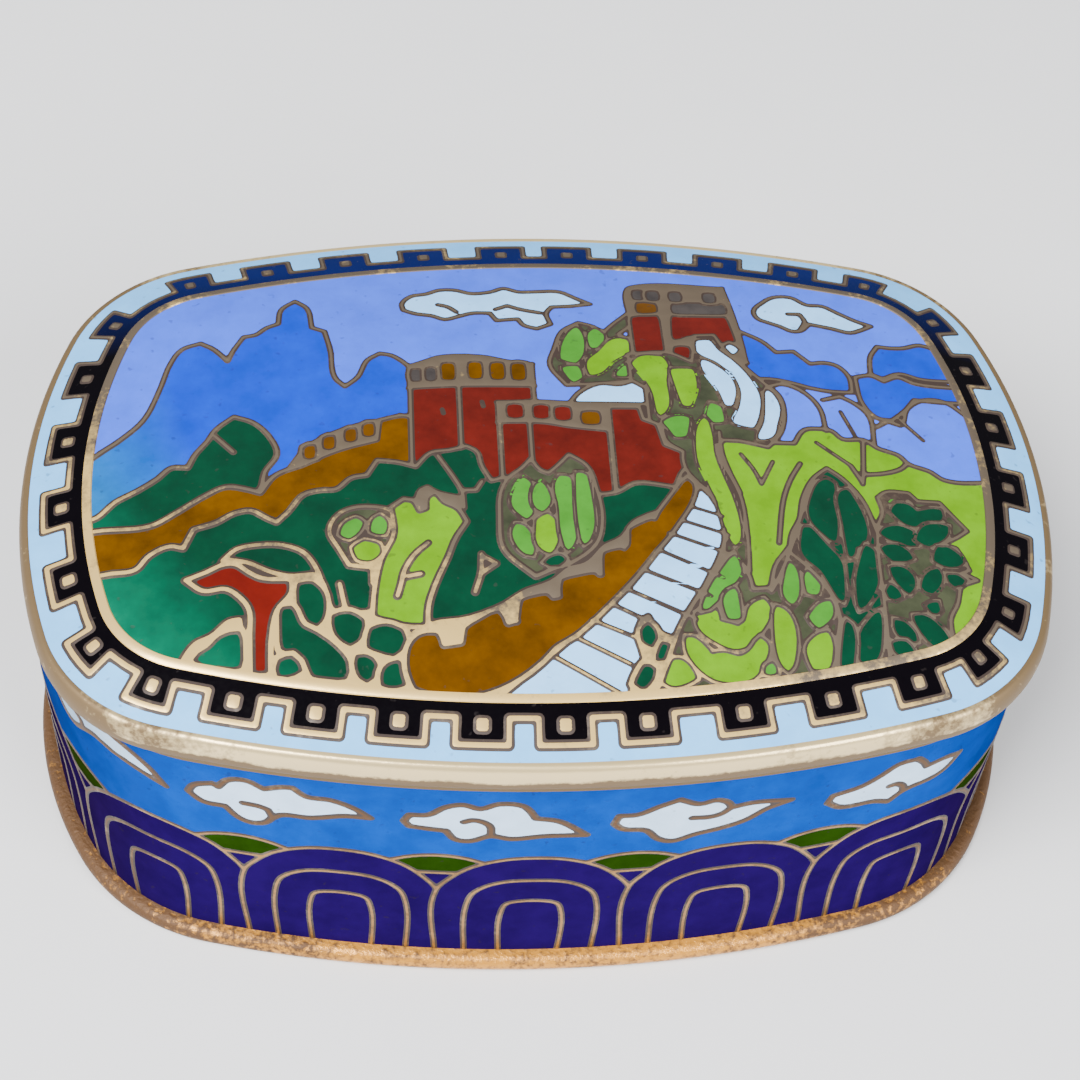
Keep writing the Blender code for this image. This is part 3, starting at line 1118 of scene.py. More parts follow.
def sky_and_mountains():
    """The sky, the mountains far off on the left and the hill before them."""
    return [
        Cell("sky", ring(LID_PLAN, PANEL_INSET), 0.0),
        cell("azure", [
            (-36.5, -0.5), (-34.8, 1.3), (-33.3, 2.5), (-31.5, 4.5), (-30.3, 8), (-29.7, 10.5),
            (-28.8, 12.2), (-27.3, 12.8), (-26.2, 12), (-25, 10.5), (-24.6, 11.7), (-23.8, 13.3),
            (-22.8, 13.5), (-22, 14.3), (-21, 14.8), (-20.8, 16.7), (-19.7, 17.8), (-18.7, 16.8),
            (-18.25, 14.2), (-17.2, 13.7), (-16.7, 11.3), (-16.3, 8), (-15.5, 7), (-14.5, 8), (-13.7, 10),
            (-12.7, 10.8), (-11.7, 10.5), (-10, 8.6), (-8, 4), (-14, -2), (-22, -5), (-36.5, -7),
        ]),
        cell("dark_green", [
            (-36, -5.6), (-34.5, -5.2), (-33.2, -3.8), (-31.5, -2.8), (-30, -1.7), (-29, -0.7),
            (-27.7, -0.8), (-27.2, 0.5), (-26.3, 1.8), (-25.7, 3), (-24.3, 4.3), (-22.7, 3.5), (-21.3, 1.7),
            (-20.8, 0), (-21.7, -1.7), (-22, -3.3), (-24, -6), (-30, -8), (-36, -7),
        ]),
    ]


def clouds_above():
    """The two clouds in the sky."""
    return [
        cell("white", [
            (-10.8, 17.2), (-10, 18.2), (-8.7, 18.5), (-7.7, 19), (-6.3, 19), (-5, 18.5), (-3.3, 18.7),
            (-2.2, 19.2), (-1, 18.7), (0.3, 18.7), (2.5, 18.7), (3.8, 17.8), (5, 17), (3.3, 16.7),
            (1.7, 16.6), (1.2, 15.7), (1.5, 14.3), (0.3, 13.7), (-0.8, 14.2), (-1.2, 15), (-3, 14.8),
            (-3.5, 15.8), (-5, 15.8), (-6.3, 15.3), (-7.3, 15), (-8.3, 15.5), (-9.7, 15.8), (-10.7, 16.3),
        ]),
        cell("white", [
            (18.8, 16.3), (19.7, 17.5), (20.8, 18.3), (22.3, 18.3), (23.5, 17.3), (24.8, 17.2), (26, 16.3),
            (27.5, 15.3), (28.7, 14.8), (27.7, 14.2), (26.7, 13.8), (25.3, 14.2), (23.3, 14.7),
            (22.5, 13.8), (21.7, 13.7), (20.8, 14.3), (19.8, 14.8), (19, 15.3),
        ]),
    ]


def ridges_right():
    """The blue ridges far off on the right."""
    return [
        cell("azure", [
            (17.2, 13.6), (19, 12.3), (20, 11), (21.5, 11.2), (22.7, 9.8), (24, 10), (25, 9.7), (25.8, 8.5),
            (25.8, 6.7), (24, 6.7), (22.3, 7), (20.8, 7.5), (19.3, 7.8), (17, 7.7),
        ]),
        cell("azure", [
            (27.7, 9), (28, 11), (28.8, 12.3), (29.8, 12.2), (31, 12.3), (32.7, 12.8), (35, 11.3),
            (36, 8.8), (32, 8.7), (30.2, 9.2), (28.7, 8.5),
        ]),
        cell("azure", [
            (26.3, 8.5), (27.7, 8.8), (28.7, 8.2), (30, 8.8), (31.3, 8.2), (36, 8), (36, 6.3), (32.7, 6.2),
            (31, 6.3), (30, 5), (28.7, 3.8), (27.5, 4), (26.5, 5.5),
        ]),
    ]


def wall_left():
    """The wall that climbs from the left to the first tower, with its battlements."""
    cells = [
        metal([
            (-20.2, -1.6), (-18.6, 0.9), (-16.6, 2.2), (-14.6, 3), (-12.8, 3.4), (-11, 3.9), (-11, 0),
            (-19, -3),
        ]),
        cell("ochre", [
            (-36.5, -6.7), (-34.2, -6.5), (-30.3, -6.4), (-28.3, -5.2), (-26.3, -3.8), (-24.7, -3),
            (-23.2, -3.3), (-22, -3.8), (-21, -2.2), (-20.2, -1.7), (-18.8, -1.2), (-17.2, -0.3),
            (-15.5, 0.4), (-13, 1.1), (-12.8, 3.2), (-10.8, 3.6), (-9.5, 3), (-9.5, -3), (-12, -4),
            (-16, -6), (-20, -8), (-26, -9.5), (-31, -12.5), (-36, -13),
        ]),
    ]
    wide, tall, slope = 0.5, 0.9, 0.2
    for x, y in ((-18.5, -0.4), (-17, 0.5), (-15.3, 1.2), (-13.9, 1.7)):
        outline = [(x, y), (x, y + tall), (x + wide, y + tall + slope), (x + wide, y)]
        cells.append(leaf("brown", outline))
    return cells


def parapet(colour, slots, half_width, half_height):
    """Small upright cells in a row, such as the openings of a parapet."""
    return [
        leaf(colour, [
            (x - half_width, y - half_height), (x + half_width, y - half_height),
            (x + half_width, y + half_height), (x - half_width, y + half_height),
        ])
        for x, y in slots
    ]


def towers():
    """The three red blocks in the middle, with their parapets."""
    first = [
        cell("brick", [(-10.3, 9.2), (-8.7, 9.8), (-0.4, 9.2), (-0.4, -4), (-10.3, -4)]),
        metal([
            (-10.6, 9.3), (-8.9, 10.1), (-8, 10.5), (-4.3, 10.5), (-2.3, 9.9), (-0.1, 9.5), (-0.1, 6.5),
            (-6.3, 6.6), (-10.6, 6.4),
        ]),
        *parapet(
            "ochre", ((-7.2, 8.5), (-5, 8.6), (-3.2, 8.5), (-1.5, 8.4)), half_width=0.36, half_height=0.8
        ),
        *parapet("grey", ((-9.8, 8.1), (-8.6, 8.2)), half_width=0.2, half_height=0.6),
    ]
    second = [
        cell("brick", [(-3.3, 4.9), (0, 4.8), (5.4, 3.6), (5.4, -6), (-3.3, -6)]),
        metal([(-3.6, 5.1), (0, 5.2), (3.4, 4.9), (5.8, 4.6), (5.6, 1.5), (2, 2), (0.3, 2.4), (-3.6, 2.5)]),
        *parapet("brick", ((-2, 3.9), (0.1, 3.8), (1.8, 3.6)), half_width=0.45, half_height=0.55),
        *parapet("brown", ((4, 3.1),), half_width=0.55, half_height=0.5),
        cell("brick", [
            (5.5, 4.3), (8, 4.3), (8.2, 3), (9.3, 2.5), (9.7, 0.3), (11.3, -0.5), (11.5, -1.5),
            (10.7, -2.7), (9.6, -6), (5.5, -6),
        ]),
    ]
    return first + second


def bush_and_cloud():
    """The pale bush beside the upper tower and the low cloud under it."""
    return [
        cell("moss", [
            (1.1, 9.2), (1.6, 11.2), (2.4, 13.4), (3.8, 14.5), (5, 14), (5.9, 13.3), (6.6, 14.2), (8.3, 16),
            (8.3, 14.5), (7, 13), (8.3, 12), (8.3, 7.4), (6.2, 7.1), (4, 6.9), (2.3, 6.8),
        ]),
        thin_leaf("pale_green", [
            (2.2, 10), (2.4, 11.5), (3, 13), (3.6, 13.8), (3.9, 12.5), (3.7, 10.5), (3.2, 9.6),
        ]),
        thin_leaf("pale_green", [(4.7, 11.4), (4.7, 13), (5.1, 13.6), (5.6, 13), (5.4, 11.6)]),
        thin_leaf("lime", [
            (4.4, 8.1), (4.4, 9.6), (5.3, 10.6), (6.6, 12.2), (7.6, 12.3), (7.7, 10.9), (6.3, 9.9),
            (5.2, 8.5),
        ]),
        thin_leaf("pale_green", [(6.5, 8), (7.3, 9), (8.2, 9.7), (8.2, 8.1)]),
        thin_leaf("pale_green", [(2.2, 8.8), (3.3, 8.9), (3.5, 7.8), (2.9, 7.3)]),
        cell("white", [(2.4, 4.7), (3.3, 6), (5, 7), (6.7, 6.9), (8, 7.5), (8.9, 7), (8.8, 4.6)]),
    ]


def upper_tower():
    """The highest tower, behind the trees."""
    return [
        metal([
            (8.1, 19.3), (8.6, 19.7), (16.7, 19.7), (17.1, 16.7), (17.5, 12), (17.6, 9.4), (7.7, 9.4),
            (7.9, 15),
        ]),
        leaf("brick", [(8.5, 10.6), (8.5, 15.1), (10.4, 15.3), (10.4, 10.6)]),
        leaf("brown", [(9, 16), (9.1, 17.2), (10.3, 17.2), (10.4, 16.1)]),
        leaf("brick", [
            (11.7, 12.5), (11.9, 15.3), (16.1, 15.3), (16.5, 12.3), (15.8, 11.8), (15.2, 13.1),
            (12.8, 13.1),
        ]),
        leaf("grey", [(12, 16), (12.1, 17), (16.2, 17), (16.3, 16)]),
        leaf("brick", [(11.6, 10), (11.7, 11.3), (12.6, 11.3), (12.6, 10)]),
        *parapet(
            "grey", ((9.2, 18.3), (10.4, 18.2), (12.3, 18.1), (15.2, 18)), half_width=0.32, half_height=0.45
        ),
        leaf("white", [(15.7, 11.2), (16.2, 11.7), (16.7, 11.2), (16.2, 10.7)]),
    ]


def lime_hills():
    """The sunlit hill on the right and the green trunk that runs down beside the stairs."""
    hill = [
        cell("lime", [
            (13, 1), (17.7, 0.8), (20.2, 0.8), (21.2, 2.3), (22.3, 2.5), (23.5, 2.3), (24.2, 1.5),
            (26, 1.5), (27, 0.7), (28.7, 0), (29.3, -0.8), (31, -1.5), (32, -2.3), (36.5, -2.2), (36, -24),
            (8, -25), (9.8, -18), (11.5, -13.5), (12.9, -10.8), (13.5, -9), (13.4, -6.5), (12.8, -4.6),
            (12.8, -2),
        ]),
        cell("moss", [
            (7.6, 10.5), (10.9, 10.7), (12.8, 9.6), (13.4, 12.9), (15, 13), (15.8, 11), (17.6, 8.5),
            (18.6, 7.2), (19.6, 6), (19.8, 4), (19.2, 1.8), (18, 0.3), (16.9, 0.6), (15.6, 0.9),
            (14.4, 0.9), (13.9, 0), (14.2, -1.5), (15.2, -5), (15.3, -9), (15.1, -12), (13.9, -12.5),
            (12.6, -12.6), (13.4, -9.8), (13.4, -6.5), (12.8, -4.7), (11.8, -3.4), (11.2, -2.4), (11, -1.2),
            (11.1, -0.4), (9.9, 0.6), (9.6, 2.3), (8.7, 2.8), (8.7, 6.5), (7.6, 7.4),
        ]),
    ]
    trunk = [
        thin_leaf("lime", [
            (8, 9.4), (8.7, 10.1), (10.3, 10.1), (10.6, 9.2), (10.3, 7.5), (10.2, 4.5), (9.6, 3.5),
            (9.3, 6.5),
        ]),
        thin_leaf("lime", [(11.1, 8.6), (12.7, 8.6), (12.7, 6.6), (12.1, 4.7), (11.7, 4.7), (11.4, 6.5)]),
        thin_leaf("pale_green", [
            (9.9, 2.7), (10.9, 3.2), (11.8, 3.2), (11.4, 1.4), (10.7, 1.3), (10.3, 2.2),
        ]),
        thin_leaf("pale_green", [(13.4, 3), (13.9, 4.8), (14.5, 4.4), (14.6, 3)]),
        thin_leaf("lime", [
            (12.4, -1.4), (12.4, 0.4), (12.7, 2.2), (13.2, 3.2), (13.4, 1.6), (13.4, -0.8), (13.8, -2.8),
            (14.3, -4.8), (14.6, -6.8), (14.6, -8.7), (14.3, -9.6), (13.9, -8.2), (13.6, -6.2), (13.1, -4),
        ]),
    ]
    steps = [
        thin_leaf("white", [
            (13.6, 10.9), (13.5, 12.1), (14.5, 12.2), (15, 11), (16.1, 9.7), (17.3, 7.6), (17.8, 5.8),
            (17.5, 3.8), (17, 2.5), (15.6, 2.9), (16.4, 4.6), (16.7, 6.5), (16.2, 8.2), (15, 9.8),
        ]),
        thin_leaf("white", [
            (13.7, 9.8), (14.5, 9.2), (15.6, 7.9), (15.9, 6.5), (15.5, 4.8), (15.2, 4.8), (14.9, 6.2),
            (13.8, 8.8),
        ]),
        thin_leaf("white", [
            (18.7, 6.5), (19.2, 5.4), (19.3, 4.4), (18.9, 3), (18.4, 1.6), (17.4, 1.2), (18.2, 2.9),
            (18.5, 4.5),
        ]),
    ]
    return hill + trunk + steps


def woods():
    """The dark-green mass between the two walls, with its bushes and trees."""
    mass = [
        cell("dark_green", [
            (-36, -11.2), (-33.2, -10.7), (-31.2, -10.5), (-30.3, -9.3), (-28.7, -8.5), (-27.7, -8.8),
            (-27, -7), (-25.3, -6.5), (-24, -5.7), (-22.7, -5.5), (-21.5, -6.3), (-20.7, -6.8),
            (-19.8, -5.8), (-18.7, -4.2), (-17.3, -3.8), (-16.2, -3.8), (-15, -2.7), (-13.8, -2.5),
            (-13, -1), (-11.3, -1.3), (-10, -1.8), (-8.8, -0.4), (-7.4, -0.2), (-6, 0.2), (-5.2, -0.4),
            (-4.9, -1.8), (-4.2, -3.4), (-3, -3.1), (0, -4), (3.6, -4.8), (5.5, -4.6), (7, -3.7),
            (9.3, -3.9), (10.6, -4.2), (7, -12), (-8, -20), (-8, -26), (-36, -26),
        ]),
    ]
    bush = [
        cell("moss", [
            (-3.5, -4.5), (-2.9, -3.2), (-1.7, -2.1), (-1, -1.2), (-0.4, -2.3), (0.3, -2.7), (1, -2),
            (2, -0.8), (3.3, -1.9), (4, -4.5), (4.2, -7.3), (3.6, -9.5), (1.6, -11.2), (0.3, -11.7),
            (-1.2, -12.4), (-3.5, -9.9), (-3.7, -7),
        ]),
        thin_leaf("pale_green", [
            (-2.5, -5.8), (-2.3, -4.4), (-1.7, -3.2), (-1.3, -3.8), (-1.3, -6.4), (-1.6, -7),
        ]),
        thin_leaf("pale_green", [
            (-2.6, -8.6), (-2.4, -7.7), (-1.9, -8), (-1.4, -9.2), (-1.4, -10.4), (-2, -10),
        ]),
        thin_leaf("pale_green", [
            (-0.8, -5.8), (-0.8, -4.4), (-0.4, -3.6), (0, -4.6), (0.1, -5.5), (-0.4, -6.3),
        ]),
        thin_leaf("lime", [(-0.7, -9.5), (-0.7, -7.3), (0, -6.8), (0.5, -7.6), (0.5, -9), (0, -10.2)]),
        thin_leaf("pale_green", [
            (0.9, -4), (1.2, -3.1), (1.8, -3.2), (2, -5), (1.9, -8.8), (1.4, -10), (1.1, -8), (1.1, -6),
        ]),
        thin_leaf("pale_green", [(2.6, -2.7), (3.1, -3), (3.3, -5), (3.3, -8), (2.7, -9.5), (2.5, -7)]),
        thin_leaf("dark_green", [(-0.4, -11.2), (0.6, -10.7), (1, -10.8), (0.6, -11.3)]),
    ]
    tree = [
        metal([
            (-10.4, -5.6), (-9.9, -4), (-9.1, -3.6), (-8.3, -4.2), (-6.3, -4.8), (-6.2, -6), (-8.4, -6.4),
        ]),
        cell("lime", [
            (-12, -5.8), (-11, -5), (-10.2, -5.2), (-9.8, -6.2), (-9.3, -6), (-9.2, -4.9), (-8.5, -4.4),
            (-7.9, -5.4), (-6.9, -6), (-6.2, -7.3), (-7.1, -8.8), (-7.8, -10.7), (-8.7, -12.8),
            (-9.3, -14.8), (-9.4, -16.6), (-11, -16.5), (-13.5, -15.7), (-13.3, -13.2), (-12.8, -10.7),
            (-11.8, -8.3),
        ]),
    ]
    cluster = [
        cell("moss", [
            (-16.7, -7.9), (-16, -6.3), (-14.8, -5.7), (-13.3, -5.7), (-12.1, -6.1), (-11.5, -7.3),
            (-11.7, -9.5), (-12.4, -10.8), (-13.6, -11.3), (-15.2, -11.1), (-16, -9.5),
        ]),
        thin_leaf("pale_green", [
            (-15.7, -8.2), (-15.4, -7.4), (-14.7, -6.9), (-14.3, -7.2), (-14.6, -7.9), (-15.2, -8.5),
        ]),
        thin_leaf("pale_green", [(-13.4, -8), (-13.2, -7.1), (-12.9, -6.7), (-12.5, -7.3), (-12.6, -8.2)]),
        thin_leaf("lime", [
            (-14.7, -9.6), (-14, -9.1), (-13.1, -9.4), (-13, -10), (-13.6, -10.5), (-14.4, -10.4),
        ]),
    ]
    return mass + bush + cluster + tree


def red_tree():
    """The red tree in the lower left corner, with the leaves and pebbles round it."""
    return [
        metal([
            (-28.2, -19.5), (-26.7, -17.1), (-25.5, -16.5), (-24.2, -15.3), (-22.9, -15.1), (-22.3, -20.8),
        ]),
        leaf("dark_green", [
            (-26.3, -18.7), (-25.2, -18), (-24.5, -17.2), (-23.4, -16.8), (-23.3, -19.3), (-25, -19),
        ]),
        metal([
            (-20.2, -13.2), (-19.2, -12), (-18.2, -11.7), (-17, -12.2), (-16.4, -14), (-16.2, -14.7),
            (-13.8, -14.9), (-13.8, -11.2), (-13, -11.2), (-13.2, -15.5), (-12.3, -16), (-10.6, -16.4),
            (-10.3, -22), (-21, -21.5), (-20.6, -17.5),
        ]),
        leaf("dark_green", [
            (-18.8, -12.8), (-18, -12.8), (-17.4, -13.6), (-17.3, -15.2), (-17.6, -16), (-18.4, -15.4),
        ]),
        leaf("dark_green", [
            (-20, -14.8), (-19.6, -14.8), (-18.9, -16.4), (-17.8, -17.1), (-16.5, -18.2), (-15.6, -19.5),
            (-15.6, -20.4), (-17.7, -20.1), (-18, -19.2), (-18.8, -18.3), (-19.9, -17.9),
        ]),
        leaf("dark_green", [(-20.1, -19.2), (-19.5, -19), (-18.9, -19.8), (-20.2, -20.1)]),
        leaf("dark_green", [
            (-16.2, -15.6), (-15.2, -15.5), (-14.4, -16), (-14.5, -17), (-15.1, -17.7), (-15.9, -16.9),
        ]),
        leaf("dark_green", [
            (-13.4, -16.8), (-12.5, -16.6), (-11.5, -17), (-11.3, -17.9), (-12, -18.6), (-13.6, -18),
        ]),
        leaf("dark_green", [(-14.5, -19), (-13.7, -19.3), (-13.4, -20), (-13.9, -20.7), (-14.3, -20.2)]),
        leaf("dark_green", [(-12.4, -20), (-11.7, -19.6), (-11.4, -20.1), (-11.4, -21.1), (-12.6, -21.1)]),
        cell("rust", [
            (-27.4, -11.8), (-25.9, -11.2), (-24.7, -10.6), (-23.7, -10.6), (-22.7, -11.4), (-21.7, -12),
            (-19.5, -12.2), (-19.5, -13.4), (-20.5, -14.8), (-20.9, -17), (-20.9, -20.2), (-22.4, -20.2),
            (-22.5, -17), (-22.6, -14.7), (-23.4, -13.5), (-24.4, -12.8), (-26, -12.9),
        ]),
    ]


def big_leaves():
    """The large leaf of the right foreground and the fern beside it."""
    large = [
        cell("dark_green", [
            (22.5, -1.7), (23.6, -2.7), (24.9, -4.8), (25.6, -8), (26, -11), (25.7, -13.5), (25.5, -16),
            (24.9, -20.6), (20.6, -21.2), (21.2, -18), (21.6, -15.5), (20.4, -12.6), (18.4, -10.2),
            (18.8, -8.5), (19.6, -7), (20.1, -5), (21.2, -2.9),
        ]),
        thin_leaf("dark_green", [
            (20.6, -6.5), (21, -4.8), (21.8, -3.3), (22.3, -3), (22.7, -3.3), (22.6, -5), (22.4, -7.5),
            (22.1, -9), (21.5, -8.3), (20.8, -7.3),
        ]),
        thin_leaf("dark_green", [
            (23.3, -4.3), (23.8, -3.9), (24.5, -6), (24.7, -8), (24.3, -9.2), (23.6, -9.4), (23.2, -10.6),
            (23.2, -7),
        ]),
        thin_leaf("dark_green", [
            (19.9, -7.9), (20.3, -7.9), (21.2, -9.4), (22.2, -11), (22.2, -12.5), (22, -14.6),
            (21.5, -13.4), (20.8, -11.8), (19.6, -10.3),
        ]),
        thin_leaf("dark_green", [
            (24.6, -9.4), (25.1, -10.2), (24.9, -12.5), (24.2, -14.1), (23.3, -15.2), (23.5, -12.6),
        ]),
        thin_leaf("dark_green", [
            (24.7, -15.5), (24.5, -17.3), (24, -19.2), (23.3, -19.9), (22.9, -19.5), (23.2, -17.4),
        ]),
        thin_leaf("dark_green", [(22.2, -16.3), (22.4, -17.5), (22, -20), (21.4, -20.2), (21.7, -18.5)]),
    ]
    fern = [
        cell("moss", [
            (25.8, -7.4), (26.4, -5.9), (26.2, -4.5), (27, -3.9), (28.8, -3.9), (29.4, -4.7), (31.2, -4.7),
            (31.9, -5.8), (33, -7.4), (31.9, -8.2), (30.6, -8.9), (31.8, -9.2), (32.5, -11.3),
            (31.8, -11.6), (33, -12.2), (31.5, -12.8), (31, -14.5), (30.2, -16), (30.2, -18.4), (29, -19),
            (27, -19.6), (25, -20), (25.2, -15),
        ]),
        thin_leaf("pale_green", [(27, -4.9), (27.9, -4.6), (28.6, -5), (28.2, -5.3)]),
        leaflet([
            (27.4, -5.8), (27.8, -5.3), (28.5, -5.4), (29, -6.2), (29.8, -5.9), (31, -5.6), (30.8, -6.2),
            (29.5, -6.8), (28.4, -6.8),
        ]),
        leaflet([(26.1, -8), (27.4, -7.6), (28.4, -8), (28.5, -8.9), (27.5, -8.7)]),
        leaflet([(29, -8.5), (29.8, -7.4), (31.3, -7.2), (30.7, -8.1), (29.6, -8.8)]),
        leaflet([(26, -9.6), (27, -9.5), (27.9, -10.3), (26.6, -10.4)]),
        leaflet([(30.1, -10.4), (30.5, -9.4), (31.3, -9.6), (31.9, -10.5), (31, -10.7)]),
        leaflet([(26.4, -11.5), (27.3, -11.8), (27.6, -12.5), (27.3, -13.5), (26.8, -12.6)]),
        leaflet([(25.9, -13.2), (26.4, -14), (25.9, -14)]),
        leaflet([(28.7, -13.1), (29.1, -12.2), (29.9, -11.5), (29.7, -12.5), (29, -13.4)]),
        leaflet([(30.8, -12), (31.8, -12.3), (31.1, -12.6)]),
        leaflet([(28.7, -15), (29.4, -14.7), (29.1, -15.2)]),
        leaflet([(27.6, -15.9), (28.4, -16.2), (29.5, -17.6), (28.7, -18.1), (28.1, -17.1)]),
        leaflet([(26, -16.3), (26.7, -17), (27.1, -17.8), (26.3, -17.4)]),
        leaflet([(25.6, -18.3), (26.3, -18.3), (26.7, -18.9), (25.9, -18.8)]),
    ]
    return large + fern


def shrubs():
    """The shrubs at the foot of the hill, right of the stairs."""
    return [
        cell("moss", [
            (14.1, -10.2), (15.1, -12.6), (15.2, -13.6), (16.6, -13.5), (17.2, -11.5), (18.4, -9.8),
            (20.7, -11.5), (22, -14.5), (21.9, -21), (14, -22.5), (7, -22.6), (8.3, -19.5), (9.4, -16.8),
            (10.6, -14.8), (11.8, -13), (12.9, -11.2),
        ]),
        thin_leaf("lime", [
            (10.9, -15.8), (12, -14.9), (12.3, -16.5), (13.8, -17), (14.5, -16.5), (15, -15.2),
            (15.9, -14.6), (16.2, -15.3), (15.2, -17.3), (14.2, -18.3), (13.3, -18.5), (12.2, -18),
            (11, -16.9),
        ]),
        thin_leaf("lime", [
            (9.9, -17.8), (10.4, -18), (11.5, -19.3), (12.6, -19.2), (13.6, -19.5), (14.5, -19.1),
            (15.4, -17.9), (15.7, -18.5), (15.1, -20), (14.4, -20.9), (12, -21.1), (10.9, -20.4), (10, -19),
        ]),
        thin_leaf("pale_green", [
            (14.1, -10.7), (14.3, -12), (13.3, -13.4), (11.3, -15.4), (12.1, -13.6), (13.3, -11.8),
        ]),
        thin_leaf("pale_green", [(13.1, -14.4), (13.8, -13.6), (13.9, -16), (13.2, -16)]),
        thin_leaf("lime", [
            (16.9, -15.2), (17.5, -15.7), (17.9, -17), (17.6, -19.5), (17.2, -20.4), (16.8, -19.5),
            (16.7, -17),
        ]),
        thin_leaf("lime", [
            (19, -18.6), (19.8, -17.7), (20.5, -17.4), (20.6, -19), (20.2, -20.1), (19.2, -20.2),
        ]),
        thin_leaf("pale_green", [
            (17.7, -14), (18, -12.5), (18.3, -11.2), (18.6, -12), (18.5, -14), (18.1, -14.8),
        ]),
        thin_leaf("pale_green", [(19.5, -13.8), (19.6, -12.2), (20, -11.9), (20.3, -12.8), (20.1, -13.9)]),
        thin_leaf("pale_green", [(19.4, -16), (20.3, -15), (21, -14.7), (20.9, -15.8), (19.9, -16.8)]),
        thin_leaf("pale_green", [(15.5, -20.6), (16, -19.9), (16.2, -20.6)]),
        thin_leaf("lime", [(8, -21.3), (8.8, -19.7), (9.3, -19.8), (10.1, -21), (8.6, -21.5)]),
    ]


def stairs_and_wall():
    """The stairs and the battlemented wall that comes down to the front."""
    stairs = [
        cell("white", [
            (-4.5, -22.5), (-0.8, -19.4), (1.2, -17.7), (4.2, -15), (5.9, -13.2), (7.5, -11), (9.2, -8.6),
            (11, -5.5), (12.1, -3.9), (13.7, -6.3), (14.1, -9.5), (13.3, -11.9), (11.9, -14.3),
            (10.5, -16.4), (9.5, -18), (8, -19), (7, -23.5),
        ]),
        metal([
            (6.1, -16.4), (7.2, -15.4), (8, -17), (9.3, -17.8), (9.6, -19), (8.3, -20.2), (7.8, -22.6),
            (5, -22.6), (5.4, -20.5), (6.2, -19.6), (5.9, -17.8),
        ]),
        leaf("dark_green", [(7, -16.7), (7.3, -17.5), (7.2, -18.3), (6.7, -17.9), (6.7, -17.2)]),
        leaf("dark_green", [(8.1, -18.3), (8.4, -18.4), (8, -19.2), (7.6, -19.6)]),
        leaf("dark_green", [(6.6, -20.2), (7, -20.3), (6.8, -21), (6.3, -21.6), (5.9, -21.5)]),
    ]
    wall = [
        metal([
            (-10.8, -16.9), (-8.9, -15.9), (-6.6, -15.6), (-4, -14.6), (-2.2, -13.4), (-0.2, -12.6),
            (1.2, -11.5), (2.6, -11), (4, -9.5), (5.4, -8.7), (6.3, -7.4), (7.8, -6.5), (8.8, -6.1),
            (9.8, -4.7), (11.4, -2.3), (12, -3.3), (11.6, -4.6), (9.7, -8.2), (8, -10.4), (6.2, -12.7),
            (4.1, -15), (1.6, -17.4), (-3.2, -21.2), (-5, -22.4), (-10.8, -22),
        ]),
        leaf("ochre", [
            (-10.4, -18.2), (-9.9, -17.6), (-8.9, -17.4), (-8.7, -18.7), (-6.5, -18.4), (-6.3, -16.9),
            (-4.2, -15.6), (-3.8, -17.1), (-2.4, -16.6), (-2.1, -14.6), (-0.5, -14.2), (-0.2, -14.9),
            (0.9, -14.4), (1, -12.9), (3.2, -12.4), (3.5, -13), (4.2, -12.5), (4.3, -10.5), (5.5, -10.2),
            (5.7, -10.4), (6.3, -9.9), (6.5, -8.3), (8, -7.5), (8.4, -8), (8.8, -7), (10, -5.2),
            (11.2, -3.4), (11.3, -4.3), (9.4, -7.9), (7.7, -10.1), (6, -12.3), (3.9, -14.6), (1.4, -17),
            (-0.3, -18.1), (-1.3, -19.2), (-3.1, -20.6), (-4.7, -21.4), (-6.3, -21.8), (-8.7, -21.7),
            (-10.2, -21.3), (-10.6, -19.8),
        ]),
    ]
    return stairs + wall


RUNG_WIRE = 0.62


